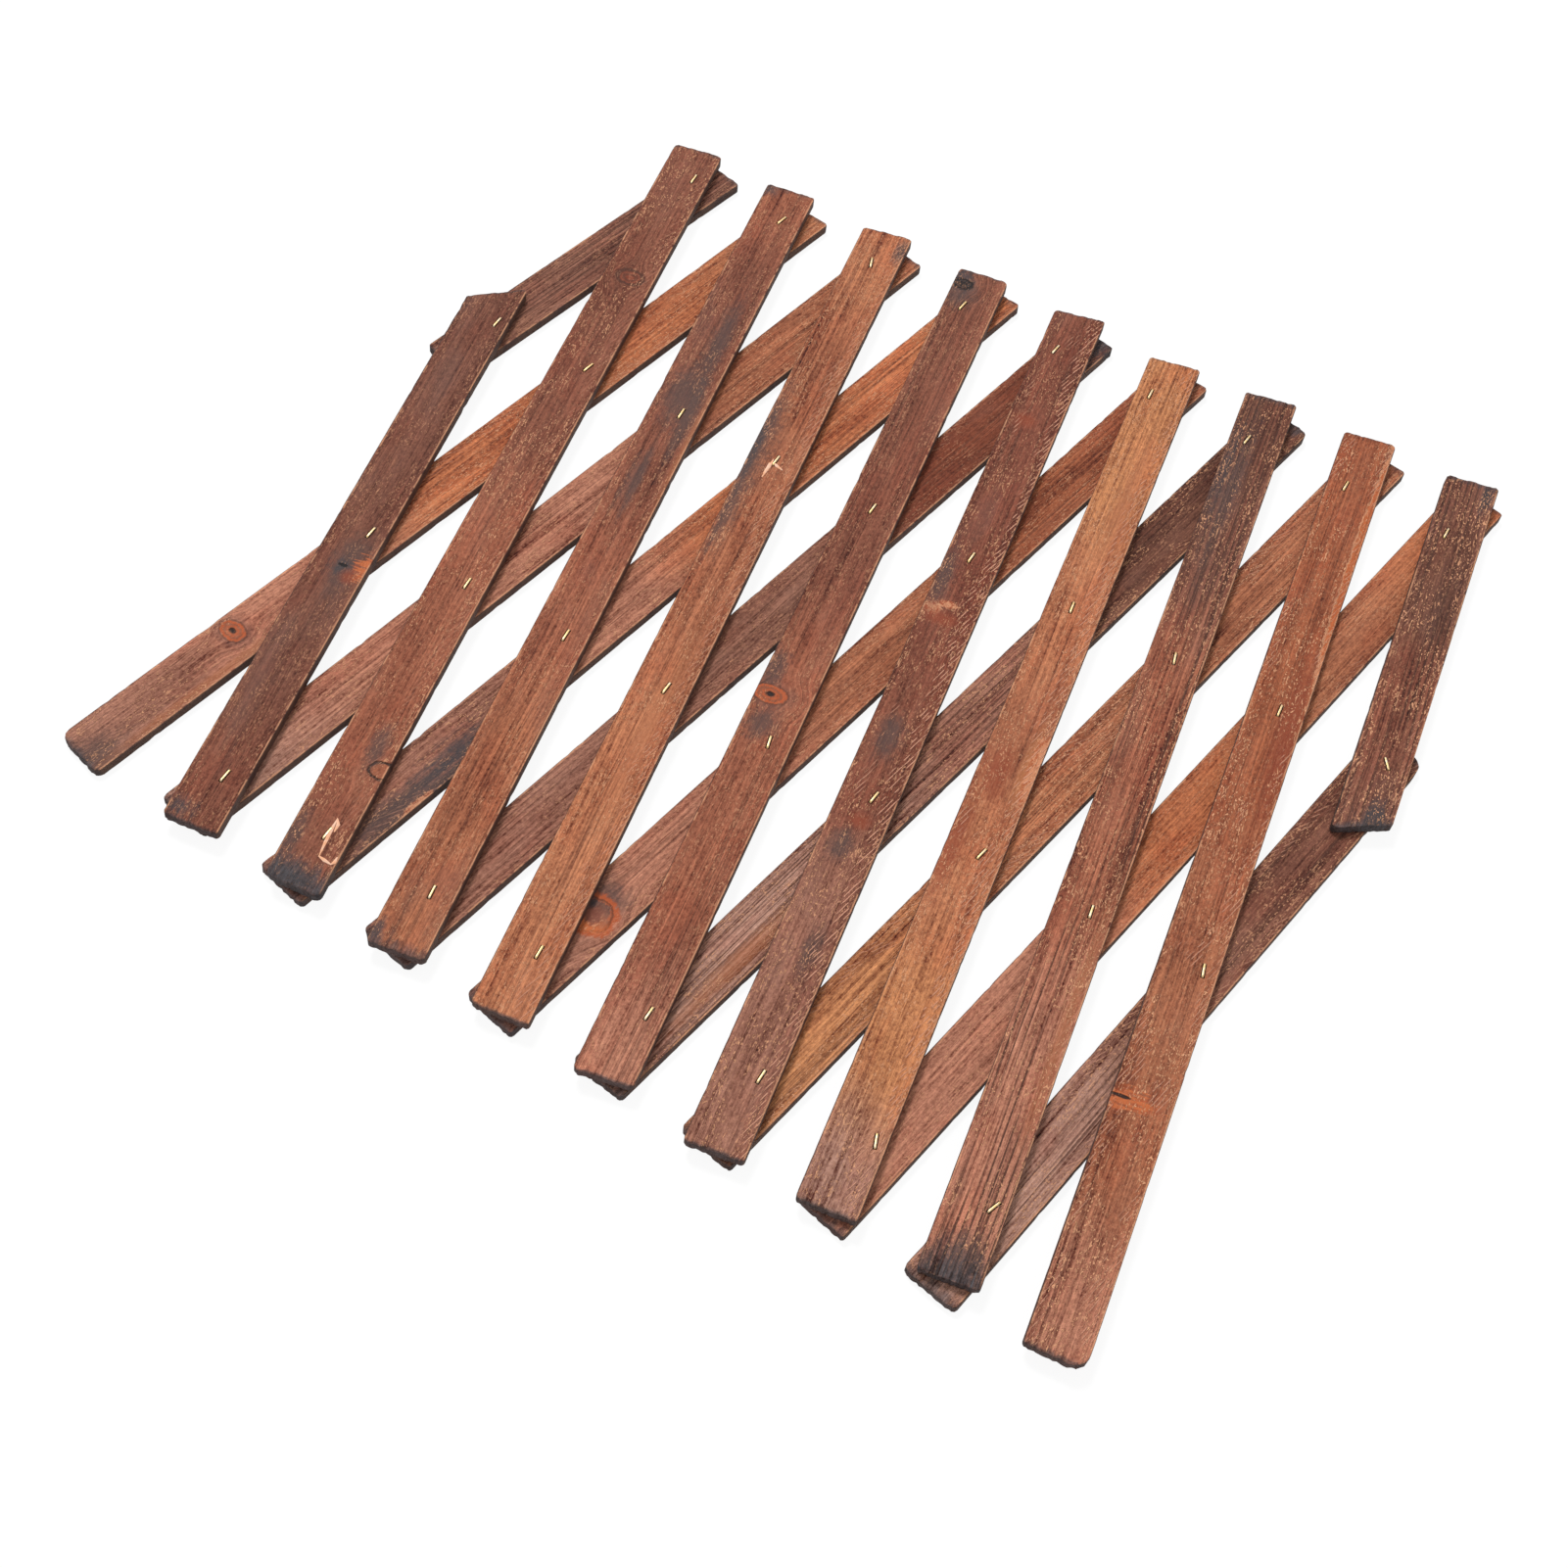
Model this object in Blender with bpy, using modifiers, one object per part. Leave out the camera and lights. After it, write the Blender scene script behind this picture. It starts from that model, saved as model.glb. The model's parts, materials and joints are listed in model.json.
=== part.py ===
"""Expandable wooden trellis: ten front slats over ten back slats, stapled at every crossing.

The slats fold like lazy tongs: every mesh between four pivots is a parallelogram.
X runs along the trellis, +Y is the far edge, +Z is up and the back slats lie on Z = 0.
"""

import math

import bmesh
import bpy
from mathutils import Matrix, Vector

# Driving dimensions, in metres and degrees
SLATS_PER_LAYER = 10
SLAT_WIDTH = 0.025
SLAT_THICKNESS = 0.005
# From the first to the last pivot of a slat that crosses all the slats it can
PIVOTED_LENGTH = 0.420
CROSSING_ANGLE = 21.0
LAYER_GAP = 0.0003
ARRIS = 0.0005

# Narrow-crown wire staple: its crown lies in a groove, its legs are clinched under the back slat
CROWN_LENGTH = 0.0064
WIRE_WIDTH = 0.00125
WIRE_THICKNESS = 0.0010
CROWN_PROUD = 0.0004
TIP_REACH = 0.0020
TIP_INSET = 0.0003
STAPLE_CLEARANCE = 0.0003
PIVOT_CLEARANCE = 0.0004
CUT_OVERRUN = 0.0010

# Crowns lie off the line of the front slat by this many degrees, and each leans by a few more
CROWN_TURN = -10.0
CROWN_LEANS = (
    (0, 0, 0),
    (5, -10, 5, 0),
    (-10, 5, 5, 10),
    (20, 0, 0, 5),
    (-5, 0, 15, 0),
    (-5, 0, -5, 0),
    (5, 10, -10, 20),
    (-5, 15, 10, -20),
    (0, 5, 15),
    (0, 35),
)

# Flats on round holes and on round slat corners
HOLE_SIDES = 18
CORNER_STEPS = 3
MERGE_DISTANCE = 0.000003
SQUARE_EDGE_ANGLE = 60.0

# A front slat crosses the back slats from this many before its own number to this many after
BEFORE_COUNT = 1
AFTER_COUNT = 2
PIVOT_SPACING = PIVOTED_LENGTH / (BEFORE_COUNT + AFTER_COUNT)

# Each slat is sawn and nailed a little differently. Shares of the slat width, first slat to last.
# Overhang past the last pivot at the far and at the near end
FRONT_FAR_OVERHANG_SHARES = (0.75, 0.85, 0.9, 0.95, 1.0, 1.1, 1.0, 1.25, 1.4, 1.5)
FRONT_NEAR_OVERHANG_SHARES = (1.05, 1.1, 1.2, 1.25, 1.3, 1.45, 1.35, 1.35, 1.55, 1.45)
BACK_FAR_OVERHANG_SHARES = (0.75, 0.75, 0.85, 1.0, 1.05, 1.1, 1.2, 1.3, 1.4, 0.7)
BACK_NEAR_OVERHANG_SHARES = (1.2, 0.9, 0.9, 1.1, 1.15, 1.25, 1.3, 1.4, 1.45, 1.6)
# Centre line beside the row of pivots at the far and at the near end, positive to the right
FRONT_FAR_OFFSET_SHARES = (-0.3, -0.2, -0.1, 0.05, 0.15, 0.2, 0.25, 0.2, 0.2, 0.25)
FRONT_NEAR_OFFSET_SHARES = (-0.1, -0.1, -0.1, -0.15, -0.25, -0.25, -0.35, -0.3, -0.5, -0.15)
BACK_FAR_OFFSET_SHARES = (0.1, 0.1, 0.15, 0.2, 0.2, 0.15, 0.2, 0.1, 0.0, -0.05)
BACK_NEAR_OFFSET_SHARES = (-0.15, -0.15, -0.05, 0.05, 0.1, 0.1, 0.1, 0.1, 0.1, 0.05)
# Saw cut across the end: how much further the right corner stands out than the left one
FRONT_FAR_SLANT_SHARES = (0.65, 0.05, 0.0, 0.05, 0.0, 0.1, 0.05, 0.05, 0.05, 0.05)
FRONT_NEAR_SLANT_SHARES = (0.05, 0.1, 0.0, 0.05, -0.05, 0.0, 0.05, 0.0, 0.1, -0.45)
BACK_FAR_SLANT_SHARES = (0.0, 0.05, 0.0, 0.05, 0.0, 0.05, 0.0, 0.05, 0.0, -0.1)
BACK_NEAR_SLANT_SHARES = (0.0, 0.1, 0.0, 0.05, 0.0, 0.05, -0.05, 0.0, 0.05, 0.0)
# Corner radii: far left, far right, near right, near left
CORNER_SHARES = (0.08, 0.08, 0.08, 0.08)
ROUNDED_CORNER_SHARES = {
    ("front", 2): (0.08, 0.12, 0.1, 0.16),
    ("front", 5): (0.08, 0.14, 0.08, 0.08),
    ("front", 9): (0.08, 0.1, 0.26, 0.08),
    ("back", 2): (0.08, 0.08, 0.14, 0.2),
    ("back", 7): (0.1, 0.18, 0.08, 0.1),
    ("back", 10): (0.1, 0.3, 0.1, 0.1),
}
# These slats run on by one more spacing past their last pivot at the near end
FREE_NEAR_ENDS = (("front", 9), ("back", 2))

# Hinges of the folding tree: each slat is carried by a slat of the other layer. Front slat 5 is the root.
ROOT = ("front", 5)
CARRIED_BY = {
    ("back", 4): ROOT,
    ("back", 5): ROOT,
    ("back", 6): ROOT,
    ("back", 7): ROOT,
    ("front", 2): ("back", 4),
    ("front", 3): ("back", 4),
    ("front", 4): ("back", 4),
    ("front", 6): ("back", 7),
    ("front", 7): ("back", 7),
    ("front", 8): ("back", 7),
    ("back", 1): ("front", 2),
    ("back", 2): ("front", 2),
    ("back", 3): ("front", 2),
    ("back", 8): ("front", 8),
    ("back", 9): ("front", 8),
    ("back", 10): ("front", 8),
    ("front", 1): ("back", 2),
    ("front", 9): ("back", 9),
    ("front", 10): ("back", 9),
}

# Looks: base colour, roughness and metallic of the stained wood and the wire
FRONT_TONES = (
    (0.13, 0.055, 0.038),
    (0.19, 0.075, 0.045),
    (0.15, 0.062, 0.042),
    (0.22, 0.095, 0.05),
    (0.17, 0.068, 0.045),
    (0.16, 0.066, 0.042),
    (0.32, 0.145, 0.075),
    (0.18, 0.075, 0.05),
    (0.24, 0.085, 0.045),
    (0.15, 0.062, 0.042),
)
BACK_TONES = (
    (0.12, 0.062, 0.042),
    (0.27, 0.1, 0.05),
    (0.22, 0.095, 0.06),
    (0.3, 0.115, 0.055),
    (0.2, 0.085, 0.06),
    (0.2, 0.078, 0.05),
    (0.12, 0.06, 0.042),
    (0.28, 0.12, 0.06),
    (0.29, 0.115, 0.055),
    (0.15, 0.065, 0.042),
)
WOOD_ROUGHNESS = 0.6
WIRE_COLOUR = (0.75, 0.58, 0.33)
WIRE_ROUGHNESS = 0.35

# Heights of the layers
BACK_BOTTOM = 0.0
BACK_TOP = BACK_BOTTOM + SLAT_THICKNESS
FRONT_BOTTOM = BACK_TOP + LAYER_GAP
FRONT_TOP = FRONT_BOTTOM + SLAT_THICKNESS
LAYER_BOTTOM = {"front": FRONT_BOTTOM, "back": BACK_BOTTOM}

# Staple section: crown on top, tips in the dish under the back slat
CROWN_TOP = FRONT_TOP + CROWN_PROUD
CROWN_BOTTOM = CROWN_TOP - WIRE_THICKNESS
TIP_BOTTOM = BACK_BOTTOM + TIP_INSET
TIP_TOP = TIP_BOTTOM + WIRE_THICKNESS
CROWN_HALF = CROWN_LENGTH / 2
LEG_INNER = CROWN_HALF - WIRE_THICKNESS
TIP_END = CROWN_HALF + TIP_REACH
WIRE_HALF = WIRE_WIDTH / 2
LEG_HOLE_RADIUS = math.hypot(CROWN_HALF, WIRE_HALF) + PIVOT_CLEARANCE
DISH_RADIUS = math.hypot(TIP_END, WIRE_HALF) + PIVOT_CLEARANCE
DISH_TOP = TIP_TOP + STAPLE_CLEARANCE

HALF_CROSSING = math.radians(CROSSING_ANGLE) / 2
LAYER_TURN = {"front": HALF_CROSSING, "back": -HALF_CROSSING}

SHARES = {
    "front": {
        "far_overhang": FRONT_FAR_OVERHANG_SHARES,
        "near_overhang": FRONT_NEAR_OVERHANG_SHARES,
        "far_offset": FRONT_FAR_OFFSET_SHARES,
        "near_offset": FRONT_NEAR_OFFSET_SHARES,
        "far_slant": FRONT_FAR_SLANT_SHARES,
        "near_slant": FRONT_NEAR_SLANT_SHARES,
    },
    "back": {
        "far_overhang": BACK_FAR_OVERHANG_SHARES,
        "near_overhang": BACK_NEAR_OVERHANG_SHARES,
        "far_offset": BACK_FAR_OFFSET_SHARES,
        "near_offset": BACK_NEAR_OFFSET_SHARES,
        "far_slant": BACK_FAR_SLANT_SHARES,
        "near_slant": BACK_NEAR_SLANT_SHARES,
    },
}


def sized(slat, name):
    """A named share of this slat, as a length."""
    layer, number = slat
    return SHARES[layer][name][number - 1] * SLAT_WIDTH


def other_layer(layer):
    return "back" if layer == "front" else "front"


def crossings(slat):
    """The slats of the other layer that this one crosses, from its far end to its near end."""
    layer, number = slat
    if layer == "front":
        low, high = number - BEFORE_COUNT, number + AFTER_COUNT
    else:
        low, high = number - AFTER_COUNT, number + BEFORE_COUNT
    found = [(other_layer(layer), n) for n in range(low, high + 1) if 1 <= n <= SLATS_PER_LAYER]
    return found if layer == "front" else found[::-1]


def lattice_point(front_number, back_number):
    """Where a front and a back slat cross, seen from the middle of the lattice."""
    middle = SLATS_PER_LAYER + 1
    along = (front_number + back_number - middle) * PIVOT_SPACING * math.sin(HALF_CROSSING)
    across = (front_number - back_number) * PIVOT_SPACING * math.cos(HALF_CROSSING)
    return Vector((along, across))


def crossing_point(slat, other):
    if slat[0] == "front":
        return lattice_point(slat[1], other[1])
    return lattice_point(other[1], slat[1])


def home_pivot(slat):
    """The pivot that a slat's own frame starts from: its hinge, or the root's middle crossing."""
    return CARRIED_BY[slat] if slat in CARRIED_BY else crossings(slat)[BEFORE_COUNT]


def pivot_run(slat, other):
    """Distance from the slat's home pivot to its crossing with another slat, positive to the far end."""
    steps = home_pivot(slat)[1] - other[1]
    return (steps if slat[0] == "front" else -steps) * PIVOT_SPACING


def slat_outline(slat):
    """Corners of a slat in its own frame, with round arcs: far left, far right, near right, near left."""
    crossed = crossings(slat)
    far = pivot_run(slat, crossed[0]) + sized(slat, "far_overhang")
    near = pivot_run(slat, crossed[-1]) - sized(slat, "near_overhang")
    if slat in FREE_NEAR_ENDS:
        near -= PIVOT_SPACING
    half = SLAT_WIDTH / 2
    far_x, near_x = sized(slat, "far_offset"), sized(slat, "near_offset")
    far_rise, near_rise = sized(slat, "far_slant") / 2, sized(slat, "near_slant") / 2
    corners = [
        Vector((far_x - half, far - far_rise)),
        Vector((far_x + half, far + far_rise)),
        Vector((near_x + half, near - near_rise)),
        Vector((near_x - half, near + near_rise)),
    ]
    shares = ROUNDED_CORNER_SHARES.get(slat, CORNER_SHARES)
    outline = []
    for i, corner in enumerate(corners):
        before, after = corners[i - 1], corners[(i + 1) % len(corners)]
        outline += round_corner(before, corner, after, shares[i] * SLAT_WIDTH)
    return outline


def round_corner(before, corner, after, radius):
    """Points of the arc that rounds a corner."""
    to_before = (before - corner).normalized()
    to_after = (after - corner).normalized()
    half_angle = to_before.angle(to_after) / 2
    centre = corner + (to_before + to_after).normalized() * radius / math.sin(half_angle)
    start = corner + to_before * radius / math.tan(half_angle) - centre
    sweep = to_before.angle(to_after) - math.pi
    return [centre + Matrix.Rotation(sweep * i / CORNER_STEPS, 2) @ start for i in range(CORNER_STEPS + 1)]


def lattice_centre():
    """Middle of the box round all slats, so that the whole stands with its box centred on the origin."""
    points = []
    for slat in all_slats():
        turn = Matrix.Rotation(LAYER_TURN[slat[0]], 2)
        home = crossing_point(slat, home_pivot(slat))
        points += [home + turn @ p for p in slat_outline(slat)]
    low = Vector([min(p[i] for p in points) for i in range(2)])
    high = Vector([max(p[i] for p in points) for i in range(2)])
    return (low + high) / 2


def all_slats():
    return [(layer, n) for layer in ("front", "back") for n in range(1, SLATS_PER_LAYER + 1)]


def slat_name(slat):
    return f"{slat[0]}_slat_{slat[1]:02d}"


def staple_name(front, back):
    return f"staple_front_{front[1]:02d}_back_{back[1]:02d}"


def clear_scene():
    for obj in list(bpy.data.objects):
        bpy.data.objects.remove(obj, do_unlink=True)


def new_collection(name):
    collection = bpy.data.collections.new(name)
    bpy.context.scene.collection.children.link(collection)
    return collection


def new_material(name, colour, roughness, metallic):
    material = bpy.data.materials.new(name)
    material.use_nodes = True
    shader = material.node_tree.nodes["Principled BSDF"]
    shader.inputs["Base Color"].default_value = (*colour, 1.0)
    shader.inputs["Roughness"].default_value = roughness
    shader.inputs["Metallic"].default_value = metallic
    return material


def plate(name, outline, thickness):
    """A flat outline extruded evenly to both sides of its plane, as a closed mesh."""
    curve = bpy.data.curves.new(name, "CURVE")
    curve.dimensions = "2D"
    curve.fill_mode = "BOTH"
    curve.extrude = thickness / 2
    spline = curve.splines.new("POLY")
    spline.points.add(len(outline) - 1)
    for point, (x, y) in zip(spline.points, outline):
        point.co = (x, y, 0.0, 1.0)
    spline.use_cyclic_u = True
    drawn = bpy.data.objects.new(name + "_outline", curve)
    bpy.context.scene.collection.objects.link(drawn)
    bpy.context.view_layer.update()
    graph = bpy.context.evaluated_depsgraph_get()
    mesh = bpy.data.meshes.new_from_object(drawn.evaluated_get(graph))
    mesh.name = name
    bpy.data.objects.remove(drawn)
    bpy.data.curves.remove(curve)
    weld = bmesh.new()
    weld.from_mesh(mesh)
    bmesh.ops.remove_doubles(weld, verts=weld.verts, dist=MERGE_DISTANCE)
    bmesh.ops.recalc_face_normals(weld, faces=weld.faces)
    weld.to_mesh(mesh)
    weld.free()
    return mesh


def new_object(name, mesh, collection):
    obj = bpy.data.objects.new(name, mesh)
    collection.objects.link(obj)
    return obj


def staple_outline():
    """Side view of the staple, X along the crown and Y up, walked round from the left tip."""
    right = [
        (CROWN_HALF, CROWN_TOP),
        (CROWN_HALF, TIP_TOP),
        (TIP_END, TIP_TOP),
        (TIP_END, TIP_BOTTOM),
        (LEG_INNER, TIP_BOTTOM),
        (LEG_INNER, CROWN_BOTTOM),
    ]
    return right + [(-x, y) for x, y in reversed(right)]


def staple_groove_outline():
    """Side view of the space for the crown and the two legs in a front slat."""
    floor = FRONT_BOTTOM - CUT_OVERRUN
    ceiling = FRONT_TOP + CUT_OVERRUN
    outer = CROWN_HALF + STAPLE_CLEARANCE
    inner = LEG_INNER - STAPLE_CLEARANCE
    bed = CROWN_BOTTOM - STAPLE_CLEARANCE
    right = [(outer, ceiling), (outer, floor), (inner, floor), (inner, bed)]
    return right + [(-x, y) for x, y in reversed(right)]


def turned(name, profile, sides):
    """A closed solid turned round Z from a profile of (radius, height) points that starts and ends on the axis."""
    mesh = bpy.data.meshes.new(name)
    points = [(radius, 0.0, height) for radius, height in profile]
    mesh.from_pydata(points, [(i, i + 1) for i in range(len(points) - 1)], [])
    lathe = bpy.data.objects.new(name + "_profile", mesh)
    bpy.context.scene.collection.objects.link(lathe)
    screw = lathe.modifiers.new("turn", "SCREW")
    screw.steps = screw.render_steps = sides
    screw.use_merge_vertices = True
    screw.merge_threshold = MERGE_DISTANCE
    bpy.context.view_layer.update()
    graph = bpy.context.evaluated_depsgraph_get()
    solid = bpy.data.meshes.new_from_object(lathe.evaluated_get(graph))
    bpy.data.objects.remove(lathe)
    return solid


def pivot_cutters():
    """The shapes cut at each crossing: a groove in the front slat, a hole with a dish in the back slat."""
    groove = plate("groove", staple_groove_outline(), WIRE_WIDTH + STAPLE_CLEARANCE * 2)
    groove.transform(Matrix.Rotation(math.radians(90), 4, "X"))
    low, high = BACK_BOTTOM - CUT_OVERRUN, BACK_TOP + CUT_OVERRUN
    profile = [
        (0.0, high),
        (LEG_HOLE_RADIUS, high),
        (LEG_HOLE_RADIUS, DISH_TOP),
        (DISH_RADIUS, DISH_TOP),
        (DISH_RADIUS, low),
        (0.0, low),
    ]
    return {"front": groove, "back": turned("pivot_hole", profile, HOLE_SIDES)}


def cut(obj, shape, places, collection):
    """Cuts copies of one shape out of an object, as one cutter.

    The exact solver leaves open edges on these thin cuts, so the manifold solver makes them.
    """
    mesh = bpy.data.meshes.new(obj.name + "_cuts")
    copies = bmesh.new()
    for where in places:
        single = shape.copy()
        single.transform(where)
        copies.from_mesh(single)
        bpy.data.meshes.remove(single)
    copies.to_mesh(mesh)
    copies.free()
    cutter = new_object(mesh.name, mesh, collection)
    cutter.hide_render = True
    cutter.display_type = "WIRE"
    cutter.parent = obj
    modifier = obj.modifiers.new("cuts", "BOOLEAN")
    modifier.operation = "DIFFERENCE"
    modifier.solver = "MANIFOLD"
    modifier.object = cutter


def make_slat(slat, collection, cutters, shapes):
    """One slat with its eased long edges and its cuts, still in its own frame."""
    layer, number = slat
    mesh = plate(slat_name(slat), slat_outline(slat), SLAT_THICKNESS)
    mesh.transform(Matrix.Translation((0.0, 0.0, LAYER_BOTTOM[layer] + SLAT_THICKNESS / 2)))
    obj = new_object(slat_name(slat), mesh, collection)
    tones = FRONT_TONES if layer == "front" else BACK_TONES
    mesh.materials.append(new_material(slat_name(slat), tones[number - 1], WOOD_ROUGHNESS, 0.0))
    eased = obj.modifiers.new("arris", "BEVEL")
    eased.width = ARRIS
    eased.segments = 1
    eased.limit_method = "ANGLE"
    eased.angle_limit = math.radians(SQUARE_EDGE_ANGLE)
    places = []
    for other in crossings(slat):
        turn = crown_turn(slat, other) if layer == "front" else 0.0
        pivot = Vector((0.0, pivot_run(slat, other), 0.0))
        places.append(Matrix.Translation(pivot) @ Matrix.Rotation(turn, 4, "Z"))
    cut(obj, shapes[layer], places, cutters)
    return obj


def crown_turn(front, back):
    """Turn about Z, in the front slat's own frame, of a crown that is drawn along X."""
    lean = CROWN_LEANS[front[1] - 1][crossings(front).index(back)]
    return math.radians(90 + CROWN_TURN + lean)


def carrier_order():
    """Slats sorted so that each comes after the slat that carries it."""
    ordered = [ROOT]
    while len(ordered) < len(all_slats()):
        ordered += [s for s in all_slats() if s not in ordered and CARRIED_BY[s] in ordered]
    return ordered


def place(obj, parent, world):
    """Parents an object and stands it at a world matrix."""
    obj.parent = parent
    obj.matrix_basis = parent.matrix_world.inverted() @ world if parent else world
    bpy.context.view_layer.update()


def main():
    clear_scene()
    trellis = new_collection("expandable_trellis")
    cutters = new_collection("cutters")
    shapes = pivot_cutters()
    centre = lattice_centre()
    slats = {}
    for slat in carrier_order():
        slats[slat] = make_slat(slat, trellis, cutters, shapes)
        home = (crossing_point(slat, home_pivot(slat)) - centre).to_3d()
        world = Matrix.Translation(home) @ Matrix.Rotation(LAYER_TURN[slat[0]], 4, "Z")
        place(slats[slat], slats.get(CARRIED_BY.get(slat)), world)

    wire = plate("staple", staple_outline(), WIRE_WIDTH)
    wire.transform(Matrix.Rotation(math.radians(90), 4, "X"))
    for front in (s for s in all_slats() if s[0] == "front"):
        for back in crossings(front):
            mesh = wire.copy()
            name = staple_name(front, back)
            mesh.materials.append(new_material(name, WIRE_COLOUR, WIRE_ROUGHNESS, 1.0))
            staple = new_object(name, mesh, trellis)
            at = (crossing_point(front, back) - centre).to_3d()
            turn = Matrix.Rotation(LAYER_TURN["front"] + crown_turn(front, back), 4, "Z")
            place(staple, slats[front], Matrix.Translation(at) @ turn)


main()
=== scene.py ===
"""Dresses the expandable trellis: sawn and stained slats, wire staples, torn fibres, and the stage."""

import json
import math
from collections import namedtuple

import bmesh
import bpy
from bpy.props import FloatProperty, FloatVectorProperty, IntProperty, PointerProperty
from mathutils import Matrix, Vector

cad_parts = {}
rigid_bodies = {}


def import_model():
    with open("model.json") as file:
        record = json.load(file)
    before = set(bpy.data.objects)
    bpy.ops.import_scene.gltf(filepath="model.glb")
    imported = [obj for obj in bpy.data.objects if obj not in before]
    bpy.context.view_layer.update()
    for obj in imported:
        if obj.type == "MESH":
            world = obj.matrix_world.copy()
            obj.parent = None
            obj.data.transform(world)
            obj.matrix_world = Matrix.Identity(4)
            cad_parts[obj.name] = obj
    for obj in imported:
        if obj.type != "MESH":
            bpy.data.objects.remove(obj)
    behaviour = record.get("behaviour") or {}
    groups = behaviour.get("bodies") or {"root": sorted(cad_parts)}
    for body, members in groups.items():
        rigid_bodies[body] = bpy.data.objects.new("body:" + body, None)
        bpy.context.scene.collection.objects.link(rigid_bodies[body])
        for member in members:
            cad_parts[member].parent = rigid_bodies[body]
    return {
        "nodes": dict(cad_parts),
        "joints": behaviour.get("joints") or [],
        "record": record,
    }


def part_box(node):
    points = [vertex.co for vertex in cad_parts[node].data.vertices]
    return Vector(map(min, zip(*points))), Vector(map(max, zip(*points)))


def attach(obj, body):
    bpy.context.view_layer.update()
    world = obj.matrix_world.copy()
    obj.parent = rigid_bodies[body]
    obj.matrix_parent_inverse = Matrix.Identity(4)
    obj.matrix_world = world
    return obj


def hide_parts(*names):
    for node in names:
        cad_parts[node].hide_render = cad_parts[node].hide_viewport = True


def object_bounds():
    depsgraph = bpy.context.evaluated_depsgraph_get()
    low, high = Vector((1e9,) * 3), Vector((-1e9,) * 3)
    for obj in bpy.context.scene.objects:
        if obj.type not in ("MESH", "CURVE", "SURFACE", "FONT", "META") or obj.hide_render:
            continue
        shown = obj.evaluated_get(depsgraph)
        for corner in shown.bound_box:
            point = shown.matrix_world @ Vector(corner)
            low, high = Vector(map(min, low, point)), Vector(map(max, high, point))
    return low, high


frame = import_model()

bl_info = {
    "name": "Expandable Trellis",
    "version": (1, 0, 0),
    "blender": (4, 5, 0),
    "location": "View3D > Sidebar > Trellis",
    "description": "Builds the stained slats, the staples and the stage of an expandable trellis",
    "category": "Object",
}

# What the frame says: the slats, the box round all of them, and the hinges between them
CAD_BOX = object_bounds()
FRONT_SLATS = sorted(n for n in frame["nodes"] if n.startswith("front_slat"))
BACK_SLATS = sorted(n for n in frame["nodes"] if n.startswith("back_slat"))


def hinge_place(name):
    return Vector(next(j["pos_m"] for j in frame["joints"] if j["name"] == name))


# Each layer's slats lie along the line through the hinges on one of them
LAYER_LINES = {
    "front": (hinge_place("hinge_back_slat_04") - hinge_place("fold")).normalized(),
    "back": (hinge_place("hinge_front_slat_04") - hinge_place("hinge_front_slat_02")).normalized(),
}
SLAT_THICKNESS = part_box(BACK_SLATS[0])[1].z
CROWN_TOP = CAD_BOX[1].z

# Attributes that carry a slat's own measure: across, along and up, and the room to its edges
PLACE = "slat_place"
ROOM = "slat_room"
CROWN_TURN = "crown_turn"

# How a slat is sawn into a grid: spacing along and across, and closer rows near the ends
ROW_SPACING = 0.0030
COLUMN_SPACING = 0.0014
END_ROWS = (0.0004, 0.0008, 0.0013, 0.0019, 0.0027, 0.0036, 0.0048)
EDGE_COLUMNS = (0.0005, 0.0009)
MERGE_DISTANCE = 0.000002
SMOOTH_ANGLE = math.radians(32.0)
END_WINDOW_SHARE = 0.8
CORNER_SHARE = 0.3
FLAT_ANGLE = math.radians(0.3)

# Saw lines run across the grain at this angle from the slat's line
SAW_ANGLE = math.radians(21.0)
SAW_SPACING = 0.00165

# Year rings show as parallel lines along the slat, and each slat's patterns start from its own place
RING_SPACING = 0.0027
PATTERN_STEP = 3.7

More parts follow.
